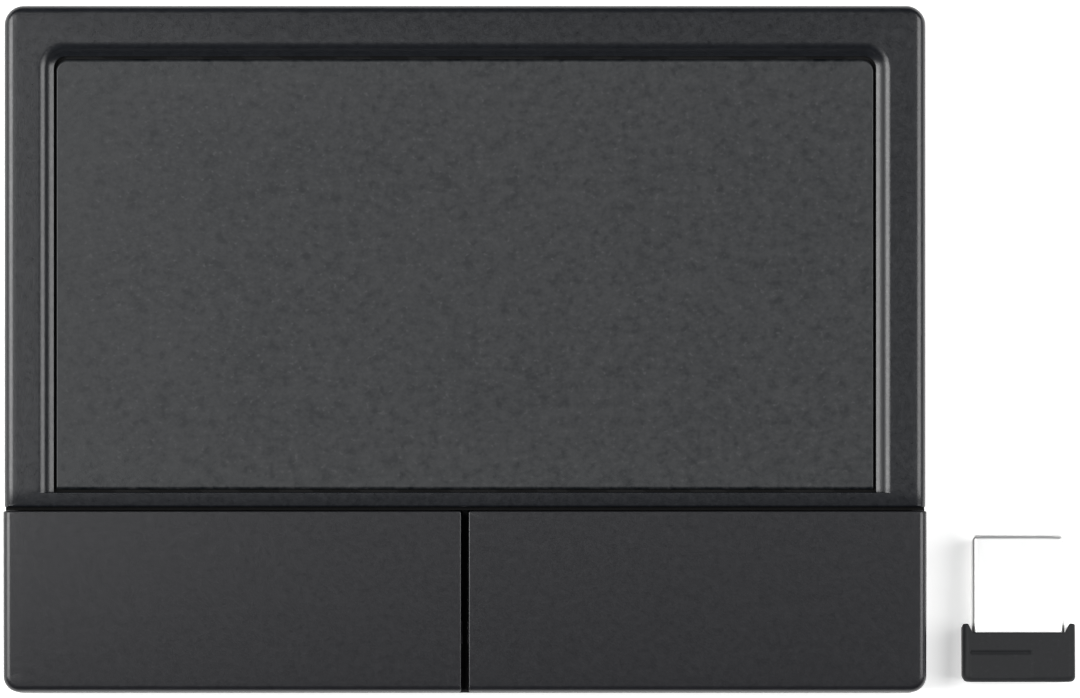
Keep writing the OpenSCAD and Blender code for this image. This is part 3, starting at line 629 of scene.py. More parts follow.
class Finishes:
    """The object's finishes, each made once and handed out by the record's material slot."""

    ALL: tuple[Any, ...] = (
        Moulded("frame_plastic", (0.0047, 0.0055, 0.0073), 0.325, gloss=0.59, drift=0.4,
                drift_mm=0.9, drift_rough=0.7, mottle=0.18, specks=0.5),
        Moulded("button_plastic", (0.0065, 0.0066, 0.0083), 0.325, gloss=0.6, drift=0.25,
                drift_mm=0.9, drift_rough=0.65, mottle=0.09, specks=0.3),
        FleckedFilm("pad_sheet", (0.0080, 0.0094, 0.0108), 0.47),
        Moulded("base_plastic", (0.0095, 0.0097, 0.0105), 0.44, grain_mm=0.4, grain_deep_mm=0.014),
        Moulded("adhesive_film", (0.5, 0.47, 0.38), 0.6, specks=0.05),
        # Black tape: the ring's own colour, and painted shade where it lines the seam and the joint between the
        # buttons
        Moulded("black_tape", (0.007, 0.007, 0.007), 0.9, gloss=0.1, grain_mm=0.15, grain_deep_mm=0.02),
        Laminate("board_laminate", (0.012, 0.085, 0.038)),
        # Black, dull board: its solder mask, and also painted shade in the gap round the pad
        Laminate("dark_laminate", (0.006, 0.006, 0.006), roughness=0.8, gloss=0.08),
        Moulded("chip_package", (0.011, 0.011, 0.011), 0.5),
        Moulded("connector_plastic", (0.66, 0.62, 0.5), 0.45, drift=0.04, specks=0.03),
        Moulded("ribbon_film", (0.55, 0.5, 0.36), 0.3, drift=0.05, specks=0.03),
        Metal("crystal_steel", (0.58, 0.59, 0.6), 0.3),
        Moulded("small_parts", (0.32, 0.2, 0.09), 0.4),
        Moulded("switch_plastic", (0.012, 0.012, 0.012), 0.45),
        Moulded("plunger_plastic", (0.2, 0.022, 0.016), 0.4),
        Moulded("slider_plastic", (0.05, 0.051, 0.054), 0.42),
        Metal("contact_steel", (0.62, 0.61, 0.57), 0.28),
        Moulded("red_insulation", (0.36, 0.016, 0.012), 0.4),
        Moulded("black_insulation", (0.009, 0.009, 0.009), 0.4),
        Metal("screw_steel", (0.42, 0.42, 0.43), 0.34, streak=(0.5, 0.5, 0.5)),
        Moulded("foot_rubber", (0.011, 0.011, 0.012), 0.78, grain_mm=0.3, grain_deep_mm=0.015),
        Moulded("grip_plastic", (0.0152, 0.0158, 0.0170), 0.6, gloss=0.2, drift=0.1),
        Metal("plug_steel", (0.88, 0.88, 0.87), 0.46, tarnish=0.03),
        Moulded("tongue_plastic", (0.75, 0.73, 0.66), 0.45, drift=0.03, specks=0.03),
        Metal("contact_gold", (0.8, 0.55, 0.2), 0.22),
    )
    # Where a cell's dark band ends, as a share of its length
    BAND_SHARE = 0.7

    def __init__(self) -> None:
        """Makes every material, and notes each node's material slot."""
        self.made = {finish.name: finish.material() for finish in self.ALL}
        self.slots = {entry["node"]: entry["material_slot"] for entry in frame["record"]["subparts"]}

    def of(self, node: str) -> bpy.types.Material:
        """The material of a node: its slot's, or one of its own on the sensor board and the cells.

        Args:
            node: the node's name.

        Returns:
            Its material.
        """
        slot = self.slots[node]
        # The sensor board is black: its solder mask, and also painted shade in the gap round the pad
        if node == "sensor_board":
            return self.made["dark_laminate"]
        if slot == "cell_jacket":
            low, high = box_mm(node)
            return Jacket(f"jacket_{node}", low[0] + self.BAND_SHARE * (high[0] - low[0])).material()
        return self.made[slot]


# Pieces


BODY_OF = {node: body for body, nodes in frame["record"]["behaviour"]["bodies"].items() for node in nodes}


def box_mm(node: str) -> tuple[np.ndarray, np.ndarray]:
    """A node's lowest and highest corner at rest, in millimetres."""
    low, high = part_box(node)
    return np.array(low) / MM, np.array(high) / MM


def placed(name: str, data: Any) -> bpy.types.Object:
    """A new object in the scene.

    Args:
        name: its name.
        data: its mesh, light or camera.

    Returns:
        The object.
    """
    made = bpy.data.objects.new(name, data)
    bpy.context.scene.collection.objects.link(made)
    return made


@dataclass(frozen=True)
class Deck:
    """The sloping top: millimetres along it, with z = 0 on its surface."""

    tilt: float
    origin: tuple[float, float, float]

    @classmethod
    def under(cls, node: str, middle: Sequence[float]) -> "Deck":
        """Finds the deck from the frame.

        The slope is that of the push switches' travel. The origin is the middle of a flat node's box, less
        that node's own middle on the deck.

        Args:
            node: a flat piece that lies along the deck.
            middle: the middle of that piece on the deck, in millimetres.

        Returns:
            The deck.
        """
        travel = next(joint["axis"] for joint in frame["joints"] if joint["name"] == "left_plunger_press")
        level = cls(math.asin(travel[1]), (0.0, 0.0, 0.0))
        low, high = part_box(node)
        return cls(level.tilt, tuple(np.array(low + high) / 2 - level.place(np.array(middle))))

    def place(self, points: np.ndarray) -> np.ndarray:
        """Deck millimetres as metres in the frame: turned about X by the slope, then moved to the origin.

        Args:
            points: (..., 3) points on the deck.

        Returns:
            The same points in the frame.
        """
        x, y, z = np.moveaxis(points * MM, -1, 0)
        rise, run = math.sin(self.tilt), math.cos(self.tilt)
        return np.stack([x, y * run - z * rise, y * rise + z * run], -1) + np.array(self.origin)


class Workshop:
    """Turns skins into finished pieces that ride on the CAD bodies."""

    def __init__(self, finishes: Finishes) -> None:
        """Keeps the finishes at hand."""
        self.finishes = finishes

    def finish(self, piece: bpy.types.Object, node: str) -> None:
        """Shades a piece evenly, dresses it and lets it stand for a CAD node.

        Args:
            piece: the new piece.
            node: the node that it stands for.
        """
        piece.data.shade_smooth()
        piece.data.set_sharp_from_angle(angle=SMOOTH_ANGLE)
        even = piece.modifiers.new("even_shading", "WEIGHTED_NORMAL")
        even.keep_sharp = True
        piece.data.materials.clear()
        piece.data.materials.append(self.finishes.of(node))
        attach(piece, BODY_OF[node])
        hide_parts(node)
        LOG.info("%s: %d faces, on %s", piece.name, len(piece.data.polygons), BODY_OF[node])

    def skin(self, name: str, node: str, points: np.ndarray, faces: list[list[int]],
             sheet_mm: float = 0.0) -> None:
        """Makes a new piece, thickened inwards where it is a sheet.

        Args:
            name: the piece's name.
            node: the node that it stands for.
            points: its points, in metres.
            faces: its faces.
            sheet_mm: thickness of a sheet, or 0 for a closed skin.
        """
        mesh = bpy.data.meshes.new(name)
        mesh.from_pydata(points.tolist(), [], faces)
        mesh.validate()
        piece = placed(name, mesh)
        if sheet_mm:
            sheet = piece.modifiers.new("sheet", "SOLIDIFY")
            sheet.thickness, sheet.offset, sheet.use_even_offset = sheet_mm * MM, -1.0, True
        self.finish(piece, node)

    def smoothed(self, node: str, edge_mm: float = 0.0) -> None:
        """Makes a copy of a CAD node, with its flat triangles made one face and its edges broken.

        Args:
            node: the node to copy.
            edge_mm: width of the broken edges, or 0 for none.
        """
        mesh = bpy.data.meshes.new(f"{node}_smooth")
        work = bmesh.new()
        work.from_mesh(frame["nodes"][node].data)
        bmesh.ops.remove_doubles(work, verts=work.verts, dist=SAME_PLACE * MM)
        bmesh.ops.dissolve_limit(work, angle_limit=FLAT_ANGLE, verts=work.verts, edges=work.edges)
        work.to_mesh(mesh)
        work.free()
        piece = placed(f"{node}_smooth", mesh)
        if edge_mm:
            edge = piece.modifiers.new("broken_edges", "BEVEL")
            edge.width, edge.segments, edge.limit_method = edge_mm * MM, 2, "ANGLE"
            edge.angle_limit = SMOOTH_ANGLE
        self.finish(piece, node)

    def dress(self, *nodes: str) -> None:
        """Gives CAD nodes that stay their own materials.

        Args:
            nodes: the nodes' names.
        """
        for node in nodes:
            materials = frame["nodes"][node].data.materials
            materials.clear()
            materials.append(self.finishes.of(node))
            LOG.info("%s: dressed, on %s", node, BODY_OF[node])


@dataclass
class Casing:
    """Sizes along the deck that the mouldings share, in millimetres."""

    half_width: float = 60.0
    half_depth: float = 44.75
    edge_r: float = 1.2
    rear_edge_r: float = 1.0
    rear_corner_r: float = 2.5
    front_corner_r: float = 2.1
    small_r: float = 0.25
    button_depth: float = 23.65
    button_seam: float = 0.5
    button_gap: float = 1.0
    button_nose: float = 0.03
    side_border: float = 4.44
    rear_border: float = 4.62
    sill_width: float = 1.95
    # The recess wall at the sides: a convex crest, then a concave foot
    crest_r: float = 1.45
    foot_r: float = 2.08
    steepest: float = math.radians(46)
    foot_slope: float = math.radians(16)

    @property
    def button_rear(self) -> float:
        """Rear edge of the buttons."""
        return self.button_depth - self.half_depth

    @property
    def frame_front(self) -> float:
        """Front edge of the frame."""
        return self.button_rear + self.button_seam

    @property
    def rim(self) -> Sides:
        """Left, right, front and rear of the recess where it leaves the frame's top."""
        half = self.half_width - self.side_border
        return -half, half, self.frame_front + self.sill_width, self.half_depth - self.rear_border

    @property
    def wall_run(self) -> float:
        """How far the recess wall reaches in from the rim."""
        steep, foot = math.sin(self.steepest), math.sin(self.foot_slope)
        return self.crest_r * steep + self.foot_r * (steep - foot)

    @property
    def recess_depth(self) -> float:
        """Depth of the foot of the recess wall."""
        steep, foot = math.cos(self.steepest), math.cos(self.foot_slope)
        return self.crest_r * (1 - steep) + self.foot_r * (foot - steep)


@dataclass
class TopFrame:
    """The bezel round the pad, with the blade that fills the joint between the buttons, in millimetres."""

    casing: Casing
    deck: Deck
    wall: float = 2.0
    plate: float = 1.62
    parting_depth: float = 5.6
    parting_groove: float = 0.22
    rim_corner_r: float = 3.5
    corner_shrink: float = 1.75
    sill_r: float = 0.32
    lip_r: float = 0.15
    top_rows: int = 5
    # The top falls to the front edge from this far behind it, and to the rear edge from the recess
    sill_bend: float = 2.3
    sill_fall: float = 0.34
    rear_fall: float = 0.28
    bend_power: float = 1.4
    rear_steepest: float = math.radians(42)
    rear_foot: float = math.radians(24)
    # The blade ends short of the front, and its root starts and ends behind the frame's front edge
    blade_half: float = 0.25
    blade_nose: float = 0.4
    blade_depths: Span = (2.6, 4.3)
    root_reach: Span = (0.35, 0.85)
    root_depths: Span = (1.5, 2.7)

    def recess_wall(self, steepest: float, foot: float, steps: int = 8) -> tuple[np.ndarray, np.ndarray]:
        """The recess wall from rim to foot: a convex arc and a concave arc that meet at the steepest slope.

        The convex arc runs R sin a and falls R (1 - cos a). The concave one does the same from the foot back
        up, and starts there at the foot's own slope. The two radii follow from how far the wall runs and
        falls in all.

        Args:
            steepest: slope where the arcs meet.
            foot: slope at the foot.
            steps: steps along each arc.

        Returns:
            How far each row has run in, and how far it has fallen.
        """
        wide, deep = self.casing.wall_run, self.casing.recess_depth
        a, b = np.linspace(0, steepest, steps + 1), np.linspace(steepest, foot, steps + 1)[1:]
        whole = [[math.sin(steepest), math.sin(steepest) - math.sin(foot)],
                 [1 - math.cos(steepest), math.cos(foot) - math.cos(steepest)]]
        crest_r, foot_r = np.linalg.solve(whole, [wide, deep])
        run = np.concatenate([crest_r * np.sin(a), wide - foot_r * (np.sin(b) - math.sin(foot))])
        fall = np.concatenate([crest_r * (1 - np.cos(a)), deep - foot_r * (math.cos(foot) - np.cos(b))])
        return run, fall

    def bezel(self) -> Skin:
        """The bezel as one closed ring: outer wall, rounded edge, top, recess wall, window and underside.

        In front of the window the top falls to the front edge, and behind it a little to the rear edge, as a
        power of the way there.

        Returns:
            Points and faces.
        """
        c = self.casing
        outer = (-c.half_width, c.half_width, c.frame_front, c.half_depth)
        outer_r = (c.small_r, c.small_r, c.rear_corner_r, c.rear_corner_r)
        rim_r = (c.small_r, c.small_r, self.rim_corner_r, self.rim_corner_r)
        inset, depth = quarter((c.edge_r, c.edge_r, self.sill_r, c.rear_edge_r))
        run, fall = self.recess_wall(c.steepest, c.foot_slope)
        rear_run, rear_drop = self.recess_wall(self.rear_steepest, self.rear_foot)
        a = np.linspace(0, np.pi / 2, len(run))
        wall_inset = np.stack([run, run, self.lip_r * (np.sin(a) - 1), rear_run], 1)
        wall_depth = np.stack([fall, fall, self.lip_r * (1 - np.cos(a)), rear_drop], 1)
        foot = np.array([c.wall_run, c.wall_run, 0, c.wall_run])
        inside = np.array([self.wall, self.wall, self.sill_r, self.wall])
        plate = np.full(4, self.plate)
        low = np.array([self.parting_depth, self.parting_depth, self.plate + LEAST_R, self.parting_depth])
        edge = Stack().add(outer, outer_r, self.parting_groove, low)
        edge.add(outer, outer_r, 0, low - self.parting_groove)
        upper = edge.add(outer, outer_r, inset, depth, self.corner_shrink).points()
        well = Stack().add(c.rim, rim_r, wall_inset, wall_depth).add(c.rim, rim_r, foot, plate)
        under = well.add(outer, outer_r, inside, plate).add(outer, outer_r, inside, low).points()
        loops = np.concatenate([upper, spread(upper[-1], under[0], self.top_rows), under])
        ahead = np.clip((c.frame_front + self.sill_bend - loops[..., 1]) / self.sill_bend, 0, 1)
        behind = np.clip((loops[..., 1] - c.rim[3]) / c.rear_border, 0, 1)
        drop = self.sill_fall * ahead ** self.bend_power + self.rear_fall * behind ** self.bend_power
        loops[..., 2] -= drop * (loops[..., 2] > -self.plate)
        return loft(loops, Ends.JOINED)

    def blade(self) -> list[Skin]:
        """The blade in the joint between the buttons, and the root that ties it to the frame.

        Returns:
            The points and faces of each.
        """
        across = (-self.blade_half, self.blade_half)
        start, end = (self.casing.frame_front + reach for reach in self.root_reach)
        blade = (*across, self.blade_nose - self.casing.half_depth, end, *self.blade_depths)
        return [slab(blade), slab((*across, start, end, *self.root_depths))]

    def build(self, shop: Workshop) -> None:
        """Makes the frame."""
        points, faces = joined([self.bezel(), *self.blade()])
        shop.skin("bezel_frame", "top_frame", self.deck.place(points), faces)


@dataclass
class TouchPad:
    """The film that the finger moves on, the tape round it, black bands of tape that paint shade into the seams,
    and the layers under it, in millimetres.
    """

    casing: Casing
    gap: float = 0.35
    corner_r: float = 1.6
    top: float = 1.0734
    thickness: float = 0.5
    edge_r: Sides = (0.2, 0.2, 0.45, 0.45)
    tape_w: float = 1.0
    tape_depths: Span = (1.63, 1.72)
    # The flap across the seam, ahead of and behind the frame's front edge, which paints shade into the seam
    flap_margin: float = 0.15
    flap_ahead: float = 0.38
    flap_behind: float = 0.85
    # The bar in the joint between the buttons, which paints shade into the joint
    bar_half: float = 0.35
    bar_nose: float = 0.45
    bar_ahead: float = 0.3
    bar_depths: Span = (2.45, 2.6)
    # On each side a wall hangs from the flap, and a lip turns in from its foot; both paint shade into the seam
    hang_x: Span = (1.95, 58.3)
    hang_t: float = 0.18
    hang_depths: Span = (1.7, 2.62)
    lip_reach: float = 0.8
    lip_ahead: float = 0.1
    lip_depths: Span = (2.5, 2.62)
    layers: tuple[str, ...] = ("overlay_adhesive", "sensor_board", "touch_controller", "sensor_connector")

    @property
    def rect(self) -> Sides:
        """Left, right, front and rear of the film."""
        (left, right, front, rear), reach = self.casing.rim, self.casing.wall_run + self.gap
        return left + reach, right - reach, front + self.gap, rear - reach

    @property
    def middle(self) -> tuple[float, float, float]:
        """The middle of the film."""
        return 0.0, (self.rect[2] + self.rect[3]) / 2, -self.top - self.thickness / 2

    def film(self) -> Skin:
        """The film: a flat sheet with its upper edge rounded off.

        Returns:
            Points and faces.
        """
        radii = (self.casing.small_r, self.casing.small_r, self.corner_r, self.corner_r)
        inset, depth = quarter(self.edge_r, steps=6)
        stack = Stack().add(self.rect, radii, 0, np.full(4, self.top + self.thickness))
        return loft(stack.add(self.rect, radii, inset, depth + self.top).points())

    def shade_strips(self) -> list[Skin]:
        """Straight black bands of tape that paint shade into the seam and the joint: a flap, a bar, and on each
        side a wall and a lip under the button's rear.

        Returns:
            The points and faces of each strip.
        """
        c, front = self.casing, self.casing.frame_front
        flap_x = c.half_width - self.flap_margin
        flap = (-flap_x, flap_x, front - self.flap_ahead, front + self.flap_behind, *self.tape_depths)
        bar_front, bar_rear = self.bar_nose - c.half_depth, front - self.bar_ahead
        rows = [flap, (-self.bar_half, self.bar_half, bar_front, bar_rear, *self.bar_depths)]
        for side in Side:
            across = sorted(side.value * x for x in self.hang_x)
            rows.append((*across, front - self.hang_t, front, *self.hang_depths))
            rows.append((*across, c.button_rear - self.lip_reach, front - self.lip_ahead, *self.lip_depths))
        return [slab(row) for row in rows]

    def tape_and_shade(self) -> Skin:
        """Black tape: a ring that holds the sensor to the frame, and straight black bands that paint shade into
        the seam and the joint.

        Returns:
            Points and faces.
        """
        rim = self.casing.rim
        high, low = (np.full(4, depth) for depth in self.tape_depths)
        inner = self.casing.wall_run * np.array([1, 1, 0, 1])
        outer = inner - self.tape_w
        ring = Stack(turn=4, run=4).add(rim, SQUARE, outer, low).add(rim, SQUARE, outer, high)
        ring.add(rim, SQUARE, inner, high).add(rim, SQUARE, inner, low)
        return joined([loft(ring.points(), Ends.JOINED), *self.shade_strips()])

    def build(self, shop: Workshop, deck: Deck) -> None:
        """Makes the film, its tape and the black bands of painted shade in the seams, and dresses the layers under
        them.

        Args:
            shop: where pieces are finished.
            deck: the deck that they lie along.
        """
        points, faces = self.film()
        shop.skin("touch_film", "touch_overlay", deck.place(points), faces)
        points, faces = self.tape_and_shade()
        # This dark tape is partly the real ring round the sensor and partly painted shade in the seam and the
        # joint
        shop.skin("dust_seal", "bezel_tape", deck.place(points), faces)
        shop.dress(*self.layers)


@dataclass
class Button:
    """A wide click button: a crowned plate with a skirt at its front and outer side, in millimetres."""

    casing: Casing
    deck: Deck
    side: Side
    # How far the button stands out past the casing's side
    over: float = 0.15
    front_r: float = 0.9
    side_r: float = 0.95
    rear_r: float = 0.14
    joint_r: float = 0.14
    crown_drop: float = 0.9
    plate: float = 2.4
    skirt: float = 4.8
    rib: float = 3.4
    skirt_t: float = 1.6
    rib_t: float = 1.2
    # Rows over the top, and the share of its size that is left for the cap in the middle
    top_rows: int = 13
    hub: float = 0.02

    def crown(self, y: np.ndarray) -> np.ndarray:
        """Height of the crowned top: minus the drop times the square of the way from rear to front."""
        return -self.crown_drop * ((self.casing.button_rear - y) / self.casing.button_depth) ** 2

    def build(self, shop: Workshop) -> None:
        """Makes the button as loops from the hollow under its plate, down the skirt and up over the top.

        The left button is the right one mirrored in X, with its faces turned round.

        Args:
            shop: where pieces are finished.
        """
        c = self.casing
        rect = (c.button_gap / 2, c.half_width + self.over, c.button_nose - c.half_depth, c.button_rear)
        radii = (c.small_r, c.front_corner_r, c.small_r, c.small_r)
        inset, depth = quarter((self.joint_r, self.side_r, self.front_r, self.rear_r))
        hollow = np.array([self.rib_t, self.skirt_t, self.skirt_t, self.skirt_t])
        low = np.array([self.rib, self.skirt, self.skirt, self.plate + LEAST_R])
        inside = Stack(run=16).add(rect, radii, hollow, np.full(4, self.plate))
        under = inside.add(rect, radii, hollow, low).add(rect, radii, 0, low).points()
        upper = Stack(run=16).add(rect, radii, inset, depth).points()
        middle = np.array([(rect[0] + rect[1]) / 2, (rect[2] + rect[3]) / 2, 0.0])
        shrink = np.linspace(1, self.hub, self.top_rows + 1)[1:, None, None]
        upper = np.concatenate([upper, middle + (upper[-1] - middle) * shrink])
        upper[..., 2] += self.crown(upper[..., 1])
        points, faces = loft(np.concatenate([under, upper]))
        if self.side is Side.LEFT:
            points = points * np.array([-1, 1, 1])
            faces = [face[::-1] for face in faces]
        name = self.side.name.lower()
        shop.skin(f"{name}_click_plate", f"{name}_button", self.deck.place(points), faces)
        shop.dress(f"{name}_switch_body", f"{name}_switch_plunger")


@dataclass
class Base:
    """The tray that holds the works, its battery bay with the door, and the feet, in millimetres."""

    edge: float = 0.15
    foot_r: float = 3.5
    foot_edge_r: float = 0.4
    foot_steps: int = 6
    # The dish in a foot, and the shares of the face's radius where it is whole and half as deep
    foot_dish: float = 0.06
    dish_at: Span = (0.3, 0.8)
    # The guard round the power slider's slot, whose middle lies this far past the slider at rest
    slot_shift: float = 1.0
    guard_inner: Span = (3.95, 2.45)
    guard_corner_r: float = 0.6
    guard_w: float = 1.1
    guard_h: float = 0.3
    # The words lie this far past the guard, to their middles
    off_reach: float = 4.6
    on_reach: float = 3.6
    mark_h: float = 0.25
    mark_sink: float = 0.1
    letter_h: float = 2.3
    # What follows down to the slant is in shares of a letter's height
    letter_w: float = 0.72
    letter_pitch: float = 0.95
    letter_corner: float = 0.3
    stroke: float = 0.17
    arm_span: Span = (0.42, 0.58)
    arm_reach: Span = (0.54, 0.62)
    slant: float = 0.32
    arrow_head: float = 2.2
    arrow_shaft: float = 0.8
    arrow_half: float = 3.0
    arrow_place: Span = (14.5, 8.0)
    cut: tuple[str, ...] = ("base_shell", "battery_door", "power_slider")
    smooth: tuple[str, ...] = ("left_cell", "right_cell", "battery_spring", "red_lead", "black_lead",
                               "housing_screws")
    plain: tuple[str, ...] = ("ribbon_cable", "board_connector", "main_board", "radio_chip", "crystal_can",
                              "board_parts", "power_switch_body", "power_lever", "negative_plate",
                              "positive_contact", "board_screws")
    feet: tuple[str, ...] = ("front_left_foot", "front_right_foot", "rear_left_foot", "rear_right_foot")

    def foot(self, shop: Workshop, node: str) -> None:
        """Makes a foot: a turned disc with a rounded lower edge and a faintly dished face.

        Args:
            shop: where pieces are finished.
            node: the foot that it stands for.
        """
        low, high = box_mm(node)
        a = np.linspace(0, np.pi / 2, self.foot_steps + 1)
        face_r = self.foot_r - self.foot_edge_r
        edge = face_r + self.foot_edge_r * np.sin(a)
        radius = np.concatenate([np.array(self.dish_at) * face_r, edge, [self.foot_r]])
        dish, rise = [self.foot_dish, self.foot_dish / 2], self.foot_edge_r * (1 - np.cos(a))
        height = np.concatenate([dish, rise, [high[2] - low[2]]])
        points, faces = loft(lathe(radius, height))
        middle = np.array([(low[0] + high[0]) / 2, (low[1] + high[1]) / 2, low[2]])
        shop.skin(f"{node}_pad", node, (points + middle) * MM, faces)

    def ring(self, rect: Sequence[float], radius: float, width: float, rise: float) -> Skin:
        """A raised ring: up the outside of a rounded rectangle, over the top and down the inside.

        Its two upper edges are broken by a third of its rise.

        Args:
            rect: left, right, front and rear of its outside.
            radius: outer corner radius.
            width: width of the ring.
            rise: its height.

        Returns:
            Points and faces.
        """
        step, sunk = rise / 3, -self.mark_sink
        outside = [(0, sunk), (0, rise - step), (step, rise)]
        inside = [(width - step, rise), (width, rise - step), (width, sunk)]
        inset, height = (np.outer(column, np.ones(4)) for column in np.array(outside + inside).T)
        return loft(Stack(turn=8, run=6).add(rect, (radius,) * 4, inset, -height).points(), Ends.JOINED)

    def plate(self, outline: np.ndarray) -> Skin:
        """A raised plate over an outline: its upright sides, its foot and its top.

        Args:
            outline: (points, 2) points, anticlockwise.

        Returns:
            Points and faces.
        """
        count = len(outline)
        rows = [np.column_stack([outline, np.full(count, z)]) for z in (-self.mark_sink, self.mark_h)]
        points, faces = loft(np.stack(rows), Ends.OPEN)
        corners = np.arange(count)
        return points, faces + [corners[::-1].tolist(), (corners + count).tolist()]

    def letter(self, sign: str) -> Skin:
        """One raised letter: O is a ring, and F and N are plates over their outlines.

        Args:
            sign: the letter.

        Returns:
            Points and faces, from the letter's lower left corner.
        """
        h, s, w = self.letter_h, self.stroke, self.letter_w
        if sign == "O":
            return self.ring((0, w * h, 0, h), self.letter_corner * h, s * h, self.mark_h)
        (low, high), (short, long), inner = self.arm_span, self.arm_reach, w - s
        arms = [(s, low), (short, low), (short, high), (s, high), (s, 1 - s), (long, 1 - s), (long, 1)]
        legs = [(s, 1 - self.slant), (inner, 0), (w, 0), (w, 1), (inner, 1), (inner, self.slant), (s, 1)]
        return self.plate(np.array([(0, 0), (s, 0), *{"F": arms, "N": legs}[sign], (0, 1)]) * h)

    def word(self, letters: str, middle: float) -> list[Skin]:
        """Letters beside each other.

        Args:
            letters: the letters to set.
            middle: distance across of the middle of the word.

        Returns:
            The points and faces of each letter.
        """
        pitch = self.letter_pitch * self.letter_h
        start = middle - (pitch * (len(letters) - 1) + self.letter_w * self.letter_h) / 2
        made = [self.letter(sign) for sign in letters]
        shift = [np.array([start + pitch * k, -self.letter_h / 2, 0]) for k in range(len(letters))]
        return [(points + step, faces) for step, (points, faces) in zip(shift, made)]

    @staticmethod
    def hang(skin: Skin, x: float, y: float, z: float) -> Skin:
        """Turns a skin half round about X, to rise downwards from a point in millimetres, as metres."""
        points, faces = skin
        return (points * np.array([1, -1, -1]) + np.array([x, y, z])) * MM, faces

    def switch_guard(self, shop: Workshop) -> None:
        """Makes the rim round the power slider's slot, and the marks at its two ends.

        Args:
            shop: where pieces are finished.
        """
        low, high = box_mm("power_slider")
        x, y = (low + high)[:2] / 2 + np.array([self.slot_shift, 0])
        z = box_mm("base_shell")[0][2]
        half_x, half_y = np.array(self.guard_inner) + self.guard_w
        rect = (-half_x, half_x, -half_y, half_y)
        guard = self.ring(rect, self.guard_w + self.guard_corner_r, self.guard_w, self.guard_h)
        shop.skin("switch_guard", "base_shell", *self.hang(guard, x, y, z))
        marks = joined(self.word("OFF", -half_x - self.off_reach) + self.word("ON", half_x + self.on_reach))
        shop.skin("switch_marks", "base_shell", *self.hang(marks, x, y, z))

    def door_arrow(self, shop: Workshop) -> None:
        """Makes the arrow on the door that shows which way it slides.

        Args:
            shop: where pieces are finished.
        """
        low, high = box_mm("battery_door")
        right = [(self.arrow_head, 0), (self.arrow_shaft, 0), (self.arrow_shaft, self.arrow_half)]
        left = [(-across, along) for across, along in reversed(right)]
        arrow = self.plate(np.array([(0, -self.arrow_half), *right, *left]))
        x, y = (low[0] + high[0]) / 2 + self.arrow_place[0], low[1] + self.arrow_place[1]
        shop.skin("door_arrow", "battery_door", *self.hang(arrow, x, y, low[2]))

    def build(self, shop: Workshop) -> None:
        """Makes and dresses the base's pieces.

        Args:
            shop: where pieces are finished.
        """
        for node in self.cut:
            shop.smoothed(node, self.edge)
        for node in self.smooth:
            shop.smoothed(node)
        self.switch_guard(shop)
        self.door_arrow(shop)
        shop.dress(*self.plain)
        for node in self.feet:
            self.foot(shop, node)


